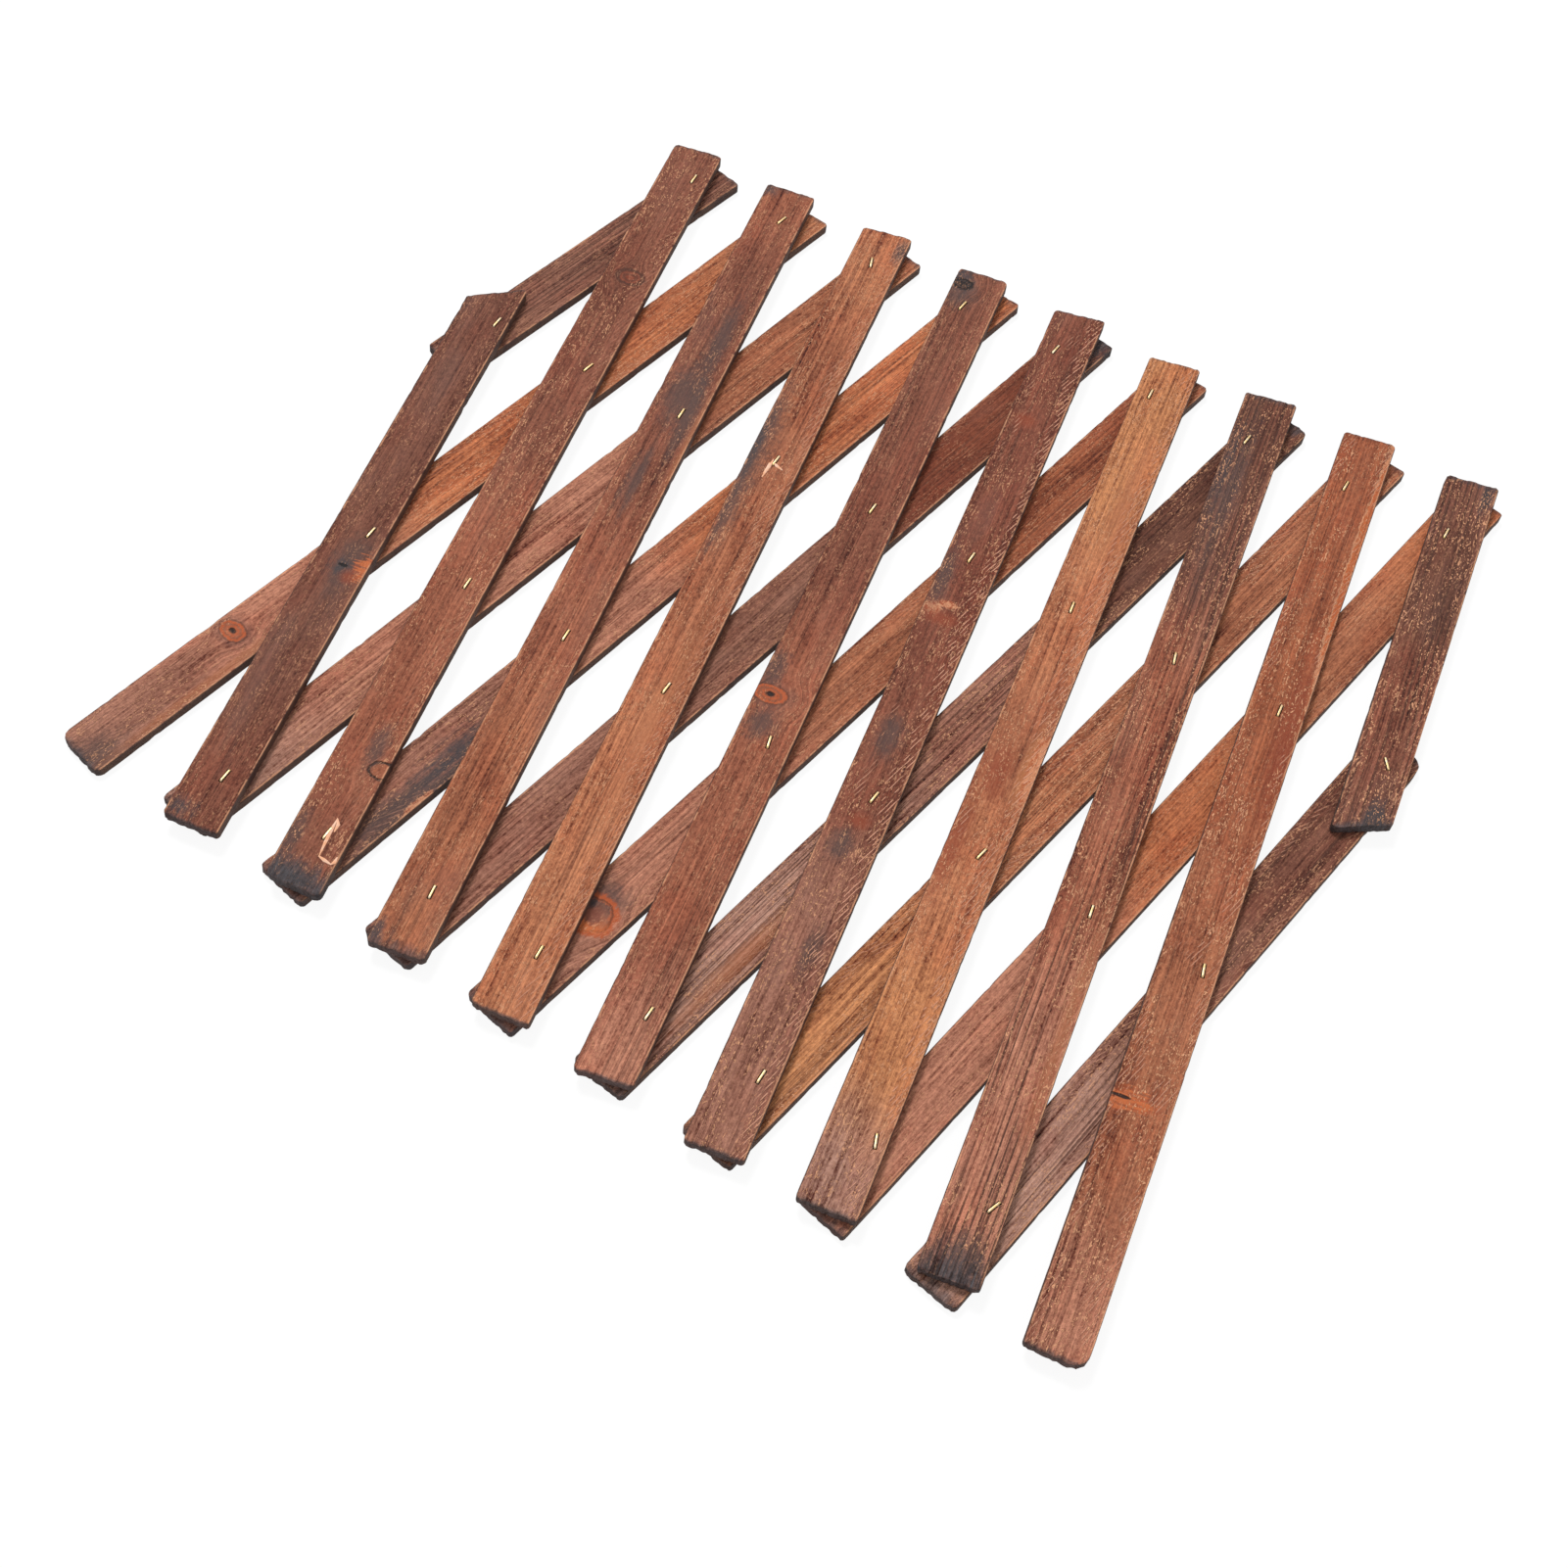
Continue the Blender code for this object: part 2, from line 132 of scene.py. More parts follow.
# One slat's looks: tones from the near to the far end, strengths, of which 1 is plain to see, and
# depths of scorched ends in metres. Saw lines lie nearer the left (-1) or the right (1) edge, or all
# over (0)
Look = namedtuple("Look", "tones grain lines specks saw saw_side blotches far_scorch near_scorch")
# The pale greyish tones that many slats start with at the near end are stain and also painted sheen: the
# near parts made brighter and greyer as if by reflected light
LOOKS = {
    "front_slat_01": ("brown umber umber umber", 0.5, 0.3, 0.5, 0.1, 0, 0.6, 0.0015, 0.002),
    "front_slat_02": ("brown chestnut chestnut brown brown brown", 0.4, 0.3, 0.9, 0.2, 1, 0.3, 0.003, 0.013),
    "front_slat_03": (
        "russet russet chestnut brown brown chestnut", 0.6, 0.4, 0.6, 0.15, 0, 0.6, 0.003, 0.006
    ),
    "front_slat_04": ("golden golden russet russet golden", 0.6, 0.4, 0.8, 0.5, 1, 0.3, 0.0015, 0.0015),
    "front_slat_05": ("rose chestnut chestnut brown brown brown", 0.5, 0.7, 0.5, 0.1, 0, 0.2, 0.002, 0.0015),
    "front_slat_06": ("plum plum brown maroon maroon maroon", 0.5, 0.5, 0.9, 1.0, 1, 0.6, 0.002, 0.0015),
    "front_slat_07": ("dusty tan golden russet golden tan tan", 0.5, 0.3, 1.0, 0.7, 1, 0.2, 0.002, 0.002),
    "front_slat_08": ("rose rose chestnut chestnut umber soot", 1.0, 1.25, 1.1, 0.2, 0, 0.4, 0.004, 0.018),
    "front_slat_09": (
        "rose russet russet mahogany mahogany mahogany", 0.6, 0.4, 1.2, 0.65, 0, 0.3, 0.0015, 0.002
    ),
    "front_slat_10": ("umber brown soot umber", 1.0, 1.2, 1.3, 0.4, 0, 0.5, 0.004, 0.003),
    "back_slat_01": ("drab drab drab", 0.9, 1.0, 0.4, 0.1, 0, 0.3, 0.004, 0.002),
    "back_slat_02": ("plum rose orange orange golden", 0.5, 0.4, 0.8, 0.3, 0, 0.2, 0.003, 0.003),
    "back_slat_03": ("dusty rose rose russet russet", 0.5, 0.5, 0.7, 0.2, 0, 0.2, 0.004, 0.004),
    "back_slat_04": ("plum plum rose orange orange orange", 0.5, 0.5, 0.8, 0.25, 0, 0.2, 0.004, 0.006),
    "back_slat_05": ("plum plum drab wine wine", 0.5, 0.4, 0.4, 0.3, 0, 0.4, 0.010, 0.006),
    "back_slat_06": ("plum rose russet mahogany mahogany", 0.5, 0.5, 0.6, 0.25, 0, 0.3, 0.003, 0.006),
    "back_slat_07": ("dusty dusty plum soot soot", 1.0, 1.0, 0.9, 0.2, 0, 0.3, 0.008, 0.006),
    "back_slat_08": ("tan tan golden russet russet russet", 0.7, 0.6, 1.0, 0.45, 0, 0.15, 0.004, 0.006),
    "back_slat_09": ("rose rose orange russet orange", 0.4, 0.2, 0.5, 0.2, 0, 0.15, 0.003, 0.006),
    "back_slat_10": ("dusty dusty drab umber umber", 0.8, 1.0, 0.8, 0.5, 0, 0.4, 0.004, 0.006),
}

# Knots and patches. Places are shares: along from the near to the far end, across from the centre
# line. Saw lines gather in the "sawn" ones
Mark = namedtuple("Mark", "kind along_share across_share length width")
MARKS = {
    "front_slat_01": (
        ("haze", 0.44, 0.10, 0.040, 0.018),
        ("char", 0.435, 0.05, 0.010, 0.014),
        ("red", 0.424, 0.25, 0.010, 0.010),
        ("flame", 0.440, 0.40, 0.012, 0.008),
        ("crack", 0.4385, 0.05, 0.0018, 0.005),
        ("char", 0.020, -0.30, 0.014, 0.014),
    ),
    "front_slat_02": (
        ("knot", 0.790, 0.03, 0.010, 0.0135),
        ("ring", 0.137, 0.40, 0.0095, 0.011),
        ("haze", 0.05, -0.40, 0.030, 0.010),
        ("haze", 0.16, 0.15, 0.030, 0.010),
        ("char", 0.012, 0.10, 0.018, 0.030),
    ),
    "front_slat_03": (
        ("haze", 0.76, 0.12, 0.070, 0.011),
        ("haze", 0.68, -0.05, 0.050, 0.022),
        ("ash", 0.65, 0.24, 0.060, 0.013),
        ("ash", 0.56, -0.1, 0.050, 0.010),
        ("worn", 0.62, 0.46, 0.090, 0.004),
        ("char", 0.012, -0.42, 0.016, 0.011),
        ("char", 0.992, -0.38, 0.012, 0.008),
    ),
    "front_slat_04": (
        ("haze", 0.66, -0.45, 0.100, 0.018),
        ("char", 0.665, -0.50, 0.060, 0.007),
        ("ash", 0.57, -0.35, 0.060, 0.010),
        ("worn", 0.30, 0.1, 0.130, 0.010),
        ("char", 0.975, 0.42, 0.018, 0.008),
    ),
    "front_slat_05": (
        ("haze", 0.965, -0.25, 0.026, 0.020),
        ("char", 0.985, -0.36, 0.018, 0.013),
        ("black", 0.977, -0.30, 0.009, 0.011),
        ("haze", 0.44, -0.35, 0.026, 0.012),
        ("haze", 0.38, -0.15, 0.022, 0.018),
        ("ember", 0.412, -0.24, 0.0095, 0.0155),
    ),
    "front_slat_06": (
        ("sawn", 0.49, 0.36, 0.060, 0.008),
        ("sawn", 0.36, 0.50, 0.050, 0.010),
        ("red", 0.838, -0.17, 0.012, 0.013),
        ("scar", 0.583, -0.33, 0.007, 0.007),
        ("scar", 0.591, -0.10, 0.004, 0.008),
        ("red", 0.574, -0.1, 0.010, 0.020),
        ("haze", 0.62, -0.35, 0.040, 0.009),
        ("haze", 0.43, -0.1, 0.030, 0.014),
        ("red", 0.336, 0.02, 0.010, 0.011),
        ("haze", 0.308, -0.12, 0.020, 0.013),
        ("haze", 0.20, 0.15, 0.030, 0.010),
    ),
    "front_slat_07": (
        ("sawn", 0.415, 0.43, 0.036, 0.010),
        ("worn", 0.80, 0.1, 0.100, 0.012),
        ("pale", 0.465, 0.36, 0.046, 0.010),
        ("scar", 0.465, 0.42, 0.040, 0.006),
        ("red", 0.45, -0.15, 0.040, 0.014),
        ("red", 0.36, -0.35, 0.060, 0.010),
    ),
    "front_slat_08": (
        ("char", 0.90, -0.38, 0.090, 0.007),
        ("ash", 0.86, -0.15, 0.120, 0.012),
        ("haze", 0.02, 0.1, 0.030, 0.024),
        ("worn", 0.25, 0.35, 0.120, 0.006),
    ),
    "front_slat_09": (
        ("sawn", 0.240, 0.25, 0.020, 0.012),
        ("sawn", 0.270, -0.30, 0.036, 0.014),
        ("flame", 0.226, -0.28, 0.011, 0.015),
        ("flame", 0.223, 0.08, 0.006, 0.010),
        ("crack", 0.227, -0.36, 0.0018, 0.010),
        ("red", 0.62, 0.30, 0.120, 0.012),
        ("facet", 0.845, 0.50, 0.150, 0.0075),
    ),
    "front_slat_10": (
        ("char", 0.030, 0.20, 0.026, 0.022),
        ("char", 0.960, 0.38, 0.026, 0.010),
    ),
    "back_slat_02": (
        ("ember", 0.189, -0.14, 0.0095, 0.013),
        ("haze", 0.006, 0.20, 0.040, 0.022),
        ("worn", 0.14, 0.40, 0.120, 0.005),
        ("worn", 0.66, 0.44, 0.130, 0.006),
    ),
    "back_slat_04": (
        ("char", 0.205, 0.16, 0.060, 0.015),
        ("char", 0.150, 0.24, 0.080, 0.011),
        ("haze", 0.110, 0.20, 0.060, 0.012),
        ("char", 0.185, 0.46, 0.090, 0.007),
        ("haze", 0.120, 0.48, 0.090, 0.010),
        ("scar", 0.138, 0.46, 0.016, 0.003),
    ),
    "back_slat_05": (("char", 0.97, 0.2, 0.060, 0.018),),
    "back_slat_06": (
        ("haze", 0.150, -0.05, 0.020, 0.022),
        ("arcs", 0.128, -0.05, 0.019, 0.020),
        ("char", 0.136, -0.22, 0.007, 0.007),
    ),
    "back_slat_07": (("worn", 0.16, 0.2, 0.100, 0.009),),
    "back_slat_08": (("sawn", 0.39, 0.38, 0.044, 0.010),),
}

# How far the outline of a mark wavers, in its own radii: plain marks, and those of other kinds
WAVER = 0.7
WAVERS = {"ember": 0.35, "arcs": 0.35, "flame": 1.4, "scar": 1.4}

# Patches that tint the stain: their tone, how far the grain streaks them, and their strength
PATCHES = {
    "char": ("char", 2.2, 0.80),
    "ash": ("ash", 2.0, 0.75),
    "haze": ("ash", 0.5, 0.80),
    "red": ("blush", 0.7, 0.75),
    "worn": ("golden", 1.6, 0.60),
    "pale": ("tan", 1.2, 0.80),
}

# Tints that redden the stain where it is flushed and between saw lines, and tones of the stage
FLUSH_TINT = (0.98, 0.83, 0.80, 1.0)
SAWN_TINT = (0.80, 0.62, 0.58, 1.0)
WHITE = (1.0, 1.0, 1.0, 1.0)
FLOOR_GRAIN = (0.8, 0.8, 0.8, 1.0)

# Torn slivers that stand on a slat: path points as shares (along, across) of slat length and width
TORN_SLIVERS = {
    "front_slat_02": (
        ((0.078, 0.14), (0.066, 0.14), (0.053, 0.15), (0.037, 0.17)),
        ((0.037, 0.16), (0.035, 0.28), (0.033, 0.42)),
        ((0.033, 0.41), (0.036, 0.45), (0.042, 0.45)),
        ((0.077, 0.15), (0.072, 0.20), (0.064, 0.20)),
    ),
    "front_slat_04": (
        ((0.656, -0.03), (0.645, -0.05), (0.630, -0.08)),
        ((0.652, -0.02), (0.649, 0.08), (0.646, 0.21)),
        ((0.650, -0.07), (0.640, -0.06), (0.635, -0.09)),
    ),
}

Spot = namedtuple("Spot", "x y z side far near bent seed")
Grain = namedtuple("Grain", "bands streaks threads lines grit rays clouds flush")
Crown = namedtuple("Crown", "middle half turn reach bottom")


class Value:
    """The output of a node. Arithmetic on it adds Math nodes to the same tree."""

    def __init__(self, graph, socket):
        self.graph = graph
        self.socket = socket

    def math(self, operation, *others):
        sockets = {i: item for i, item in enumerate((self, *others))}
        return self.graph.add("ShaderNodeMath", sockets, {"operation": operation})

    def __add__(self, other):
        return self.math("ADD", other)

    def __sub__(self, other):
        return self.math("SUBTRACT", other)

    def __mul__(self, other):
        return self.math("MULTIPLY", other)

    def __truediv__(self, other):
        return self.math("DIVIDE", other)

    __radd__ = __add__
    __rmul__ = __mul__

    def __rsub__(self, other):
        return self.graph.add("ShaderNodeMath", {0: other, 1: self}, {"operation": "SUBTRACT"})

    def __neg__(self):
        return self.math("MULTIPLY", -1.0)

    def __abs__(self):
        return self.math("ABSOLUTE")


class Graph:
    """Adds nodes to a tree and hands out their outputs."""

    def __init__(self, tree):
        self.tree = tree

    @staticmethod
    def pick(sockets, key):
        if isinstance(key, int):
            return sockets[key]
        return next(s for s in sockets if key in (s.identifier, s.name))

    def add(self, kind, sockets=None, settings=None, out=0):
        """A node of any kind, with the values or links of its sockets, and its settings."""
        node = self.tree.nodes.new(kind)
        for key, setting in (settings or {}).items():
            setattr(node, key, setting)
        for key, source in (sockets or {}).items():
            target = self.pick(node.inputs, key)
            if isinstance(source, Value):
                self.tree.links.new(source.socket, target)
            else:
                target.default_value = source
        return Value(self, self.pick(node.outputs, out)) if node.outputs else node

    def split(self, vector):
        node = self.add("ShaderNodeSeparateXYZ", {0: vector}).socket.node
        return [Value(self, socket) for socket in node.outputs]

    def join(self, x, y, z=0.0):
        return self.add("ShaderNodeCombineXYZ", {0: x, 1: y, 2: z})

    def vector(self, operation, first, second, out=0):
        return self.add("ShaderNodeVectorMath", {0: first, 1: second}, {"operation": operation}, out)

    def rise(self, value, low, high, shape="SMOOTHSTEP"):
        """A step from 0 at low to 1 at high, or falling where low is the larger."""
        sockets = {"Value": value, "From Min": low, "From Max": high}
        return self.add("ShaderNodeMapRange", sockets, {"interpolation_type": shape})

    def ring(self, away, radius, half_width):
        """1 on a ring round a mark's middle, falling to 0 beside it."""
        return self.rise(abs(away - radius), half_width, half_width * 0.25)

    def noise(self, x, y, z, detail=2.0, roughness=0.5):
        sockets = {"Vector": self.join(x, y, z), "Scale": 1.0, "Detail": detail, "Roughness": roughness}
        return self.add("ShaderNodeTexNoise", sockets)

    def scaled(self, vector, factor):
        return self.vector("MULTIPLY", vector, self.join(factor, factor, factor))

    def place(self):
        return self.add("ShaderNodeTexCoord", out="Object")

    def attribute(self, name):
        """The three parts of a vector that the mesh carries."""
        return self.split(self.add("ShaderNodeAttribute", None, {"attribute_name": name}, "Vector"))

    def random(self, low, high):
        sockets = {"Min_001": low, "Max_001": high}
        return self.add("FunctionNodeRandomValue", sockets, {"data_type": "FLOAT"}, "Value_001")

    def mix(self, factor, first, second, blend="MIX"):
        settings = {"data_type": "RGBA", "blend_type": blend, "clamp_factor": True}
        sockets = {"Factor_Float": factor, "A_Color": first, "B_Color": second}
        return self.add("ShaderNodeMix", sockets, settings, "Result_Color")

    def bump(self, strength, distance, height):
        sockets = {"Strength": strength, "Distance": distance, "Height": height}
        return self.add("ShaderNodeBump", sockets)

    def seen(self):
        """1 for what is seen, also in a mirror or through glass, and 0 for light on other things."""
        rays = self.add("ShaderNodeLightPath").socket.node.outputs
        kinds = ("Camera", "Glossy", "Transmission")
        camera, mirror, glass = (Value(self, rays[f"Is {kind} Ray"]) for kind in kinds)
        return camera.math("MAXIMUM", mirror).math("MAXIMUM", glass)

    def finish(self, kind, source):
        """Links what the tree makes to its output node."""
        output = self.tree.nodes.new(kind)
        self.tree.links.new(source.socket, output.inputs[0])

    def shade(self, sockets):
        """Closes a material with one principled shader."""
        shader = self.add("ShaderNodeBsdfPrincipled", sockets)
        self.finish("ShaderNodeOutputMaterial", shader)


class Coat:
    """The colour of a surface while tones are laid over it."""

    def __init__(self, graph, tones, first):
        self.graph = graph
        self.tones = tones
        self.colour = tones[first]

    def lay(self, amount, tone):
        self.colour = self.graph.mix(amount, self.colour, self.tones[tone])

    def ring(self, away, radius, half_width, amount, tone):
        self.lay(self.graph.ring(away, radius, half_width) * amount, tone)

    def multiply(self, tint, amount=None):
        """Multiplies the colour by a tint, or goes only part of the way."""
        product = self.graph.mix(1.0, self.colour, tint, "MULTIPLY")
        self.colour = self.graph.mix(amount, self.colour, product) if amount else product


def length_setting(name, description, default):
    return FloatProperty(
        name=name, description=description, default=default, min=0.0, precision=5, unit="LENGTH"
    )


def number_setting(name, description, default):
    return FloatProperty(name=name, description=description, default=default, min=0.0)


def place_setting(name, description, default):
    return FloatVectorProperty(name=name, description=description, default=default, unit="LENGTH")


def colour_setting(name, description, default):
    return FloatVectorProperty(
        name=name, description=description, default=default, subtype="COLOR", min=0.0, max=1.0
    )


class WoodSettings(bpy.types.PropertyGroup):
    """Colours of the stained and scorched softwood. Some also hold painted shade, sheen and highlights."""

    umber: colour_setting("Umber", "Darkest brown stain", (0.170, 0.060, 0.037))
    soot: colour_setting("Soot", "Nearly black stain", (0.128, 0.046, 0.028))
    brown: colour_setting("Brown", "Plain dark stain", (0.218, 0.071, 0.041))
    drab: colour_setting("Drab", "Greyish dark stain", (0.234, 0.096, 0.062))
    maroon: colour_setting("Maroon", "Dark crimson stain", (0.202, 0.059, 0.034))
    chestnut: colour_setting("Chestnut", "Middle stain", (0.312, 0.100, 0.053))
    wine: colour_setting("Wine", "Dark red stain", (0.182, 0.046, 0.022))
    mahogany: colour_setting("Mahogany", "Red stain", (0.300, 0.084, 0.036))
    russet: colour_setting("Russet", "Light red stain", (0.355, 0.119, 0.057))
    orange: colour_setting("Orange", "Thin orange stain", (0.462, 0.143, 0.058))
    golden: colour_setting("Golden", "Thin golden stain", (0.462, 0.166, 0.077))
    tan: colour_setting("Tan", "Lightest stain", (0.525, 0.206, 0.085))
    # The next three tones are stain and also painted sheen: brighter, greyer tones for the near ends, as if
    # they caught reflected light
    rose: colour_setting("Rose", "Pale stain with painted sheen", (0.430, 0.172, 0.106))
    plum: colour_setting("Plum", "Greyish purple stain with painted sheen", (0.310, 0.130, 0.086))
    dusty: colour_setting("Dusty", "Greyish stain with painted sheen", (0.385, 0.195, 0.142))
    blush: colour_setting("Blush", "Deep red patch", (0.290, 0.064, 0.030))
    char: colour_setting("Char", "Scorched wood", (0.056, 0.052, 0.057))
    ash: colour_setting("Ash", "Grey-blue scorch haze", (0.100, 0.060, 0.053))
    pore: colour_setting("Pore", "Stain gathered in pores and lines", (0.070, 0.027, 0.018))
    fibre: colour_setting("Fibre", "Raised pale fibres", (0.82, 0.40, 0.22))
    bare: colour_setting("Bare", "Freshly torn wood", (0.84, 0.52, 0.37))
    ember: colour_setting("Ember", "Resin-rich knot", (0.50, 0.105, 0.034))
    # Painted shade: the stain of the narrow faces, darkened further to stand for the shade they lie in
    side_stain_and_shade: colour_setting("Side stain and shade", "Stain on the narrow faces, darkened as painted shade", (0.055, 0.031, 0.027))
    # Painted shade in holes and cracks, which the mesh has only as a shallow bump; on black knots it is also
    # the knot's own dark colour
    hole: colour_setting("Holes and cracks", "Black of knots, and painted shade in holes and cracks", (0.014, 0.011, 0.011))
    cut: colour_setting("Saw cuts", "Fibres that the saw left standing", (0.78, 0.38, 0.25))
    # Bright stain beside knots, and also a painted highlight where it is laid on the slanting facet
    flare_and_highlight: colour_setting("Flares", "Bright stain beside knots, and painted highlight on the facet", (0.62, 0.165, 0.055))


class WearSettings(bpy.types.PropertyGroup):
    """How far the sawn slats are worn and torn."""

    end_tear: length_setting("End tear", "Depth of the ragged saw cut at the ends", 0.0005)
    end_reach: length_setting("End reach", "How far the torn zone runs in from the end", 0.0036)
    edge_wear: length_setting("Edge wear", "How far the long edges are rubbed down", 0.00025)
    edge_nick: length_setting("Edge nick", "Depth of nicks in the long edges", 0.00035)
    facet_depth: length_setting("Facet depth", "How deep a slanting facet cuts into the edge", 0.0015)
    relief: length_setting("Relief", "Height of the grain in the surface", 0.0006)


class FibreSettings(bpy.types.PropertyGroup):
    """Short fibres that the saw left standing."""

    fibre_length: length_setting("Length", "Longest fibre", 0.0030)
    fibre_width: length_setting("Width", "Widest fibre", 0.00030)
    sliver_width: length_setting("Sliver width", "Widest torn sliver", 0.0016)
    density: number_setting("Density", "Fibres per square metre at full strength", 30000.0)
    seed: IntProperty(name="Seed", description="Seed of the scatter", default=7, min=0)


class StapleSettings(bpy.types.PropertyGroup):
    """Wire staples that hold each crossing."""

    wire_width: length_setting("Wire width", "Wider side of the wire", 0.00092)
    wire_thickness: length_setting("Wire thickness", "Narrower side of the wire", 0.00080)
    shoulder: length_setting("Shoulder", "Bend radius where a leg meets the crown", 0.0006)
    brass: colour_setting("Brass", "Brass-coloured coat", (0.66, 0.45, 0.20))
    steel: colour_setting("Steel", "Bare steel where the coat is worn", (0.70, 0.56, 0.38))
    tarnish: colour_setting("Tarnish", "Dull lines along the drawn wire", (0.30, 0.20, 0.12))


class StageSettings(bpy.types.PropertyGroup):
    """Floor, lights and camera."""

    floor_colour: colour_setting("Floor", "Colour of the floor", (0.86, 0.86, 0.86))
    floor_size: length_setting("Floor size", "Side of the square floor", 8.0)
    key_place: place_setting("Key", "Where the soft light hangs", (-1.90, 1.40, 4.20))
    key_size: length_setting("Key size", "Side of the soft light", 1.1)
    key_power: number_setting("Key power", "Power of the soft light in watts", 155.0)
    sky: number_setting("Sky", "Strength of the even light", 0.60)
    glow: number_setting("Glow", "Brightness of the floor as it is seen", 1.03)
    glow_share: number_setting("Glow share", "Share of the glow in what is seen of the floor", 0.88)
    camera_place: place_setting("Camera", "Where the camera stands", (0.23790, -0.60339, 0.84552))
    camera_aim: place_setting("Aim", "Point that the camera looks at", (0.01693, -0.07685, 0.0))
    camera_up: FloatVectorProperty(
        name="Up", description="Direction that is up in the picture", default=(-0.45690, 0.69658, 0.55319)
    )
    lens: number_setting("Lens", "Focal length in millimetres", 55.31)
    sensor_width: number_setting("Sensor width", "Width of the film in millimetres", 36.0)
    clip_start: length_setting("Clip start", "Nearest point that the camera sees", 0.01)


def line_of(slat):
    return LAYER_LINES[slat.split("_")[0]]


def look_of(slat):
    return Look(*LOOKS[slat])


def marks_of(slat):
    return [Mark(*row) for row in MARKS.get(slat, ())]


def linked(name, data):
    """A new object in the scene that holds a mesh, a light or a camera."""
    obj = bpy.data.objects.new(name, data)
    bpy.context.scene.collection.objects.link(obj)
    return obj


def mesh_of(work, name):
    mesh = bpy.data.meshes.new(name)
    work.to_mesh(mesh)
    work.free()
    return mesh


def through_tree(mesh, tree, values):
    """The mesh that a Geometry Nodes tree makes of another mesh."""
    obj = linked(mesh.name + "_work", mesh)
    modifier = obj.modifiers.new(tree.name, "NODES")
    modifier.node_group = tree
    names = {i.name: i.identifier for i in tree.interface.items_tree if i.in_out == "INPUT"}
    for name, value in values.items():
        modifier[names[name]] = value
    bpy.context.view_layer.update()
    graph = bpy.context.evaluated_depsgraph_get()
    made = bpy.data.meshes.new_from_object(obj.evaluated_get(graph))
    obj.modifiers.remove(modifier)
    bpy.data.objects.remove(obj)
    return made


def smoothed(rough, tree, values):
    """The mesh that a tree makes, smooth but for its sharp edges. The first mesh is used up."""
    mesh = through_tree(rough, tree, values)
    bpy.data.meshes.remove(rough)
    mesh.shade_smooth()
    mesh.set_sharp_from_angle(angle=SMOOTH_ANGLE)
    return mesh


def new_tree(name, inputs):
    """A Geometry Nodes tree. Gives it, its graph and the values: geometry, inputs and material."""
    tree = bpy.data.node_groups.new(name, "GeometryNodeTree")
    tree.interface.new_socket("Geometry", in_out="INPUT", socket_type="NodeSocketGeometry")
    for kind, labels in {**inputs, "Material": ("Material",)}.items():
        for label in labels:
            tree.interface.new_socket(label, in_out="INPUT", socket_type=f"NodeSocket{kind}")
    tree.interface.new_socket("Geometry", in_out="OUTPUT", socket_type="NodeSocketGeometry")
    graph = Graph(tree)
    node = tree.nodes.new("NodeGroupInput")
    return tree, graph, [Value(graph, socket) for socket in node.outputs if socket.name]


def end_tree(graph, geometry, material):
    """Closes a tree: instances are made real and the material is set."""
    real = graph.add("GeometryNodeRealizeInstances", {0: geometry})
    dressed = graph.add("GeometryNodeSetMaterial", {"Geometry": real, "Material": material})
    graph.finish("NodeGroupOutput", dressed)


def named(graph, name, kind="FLOAT_VECTOR"):
    return graph.add("GeometryNodeInputNamedAttribute", {"Name": name}, {"data_type": kind})


def new_material(name):
    """An empty material and the graph of its nodes."""
    material = bpy.data.materials.new(name)
    material.use_nodes = True
    material.node_tree.nodes.clear()
    return material, Graph(material.node_tree)


def add_piece(name, mesh, body, replaced=()):
    """Links a finished mesh at the origin and lets it ride on its body."""
    if not mesh.polygons:
        raise RuntimeError(f"{name} has no faces")
    piece = linked(name, mesh)
    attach(piece, body)
    if replaced:
        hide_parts(*replaced)


class SlatPlan:
    """Where a slat lies: its own frame and the lines of its four sides, read from its solid."""

    def __init__(self, slat):
        line = line_of(slat)
        low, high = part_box(slat)
        turn = Matrix.Rotation(math.atan2(line.y, line.x) - math.pi / 2, 4, "Z")
        middle = (low + high) / 2
        self.to_world = Matrix.Translation((middle.x, middle.y, low.z)) @ turn
        self.to_own = self.to_world.inverted()
        points = [self.to_own @ v.co for v in frame["nodes"][slat].data.vertices]
        self.near_y, self.far_y = min(p.y for p in points), max(p.y for p in points)
        self.length = self.far_y - self.near_y
        width = min(max(p.x for p in points) - min(p.x for p in points), SLAT_WIDTH)
        window = width * END_WINDOW_SHARE
        self.near_x = self.middle_x([p for p in points if p.y < self.near_y + window])
        self.far_x = self.middle_x([p for p in points if p.y > self.far_y - window])
        self.far_line = self.end_line(points, 1)
        self.near_line = self.end_line(points, -1)

    @staticmethod
    def middle_x(points):
        xs = [p.x for p in points]
        return (min(xs) + max(xs)) / 2

    def along(self, share):
        return self.near_y + share * self.length

    def across(self, p):
        """Distance from the slat's centre line, which may run slightly askew in its frame."""
        share = (p.y - self.near_y) / self.length
        return p.x - (self.near_x + (self.far_x - self.near_x) * share)

    def end_line(self, points, way):
        """Two points of the saw cut at the far (1) or the near (-1) end, as (across, along)."""
        reach = SLAT_WIDTH * CORNER_SHARE
        half = [(self.across(p), p.y) for p in points if (p.y > 0) == (way > 0)]
        left = max((p for p in half if p[0] < -reach), key=lambda p: p[1] * way)
        right = max((p for p in half if p[0] > reach), key=lambda p: p[1] * way)
        return left, right

    def end_at(self, line, across):
        (x0, y0), (x1, y1) = line
        return y0 + (y1 - y0) * (across - x0) / (x1 - x0)

    def place(self, p):
        return (self.across(p), p.y, p.z)

    def room(self, p):
        """Distance to the nearer long edge, to the far end and to the near end."""
        x = self.across(p)
        return (
            SLAT_WIDTH / 2 - abs(x),
            self.end_at(self.far_line, x) - p.y,
            p.y - self.end_at(self.near_line, x),
        )


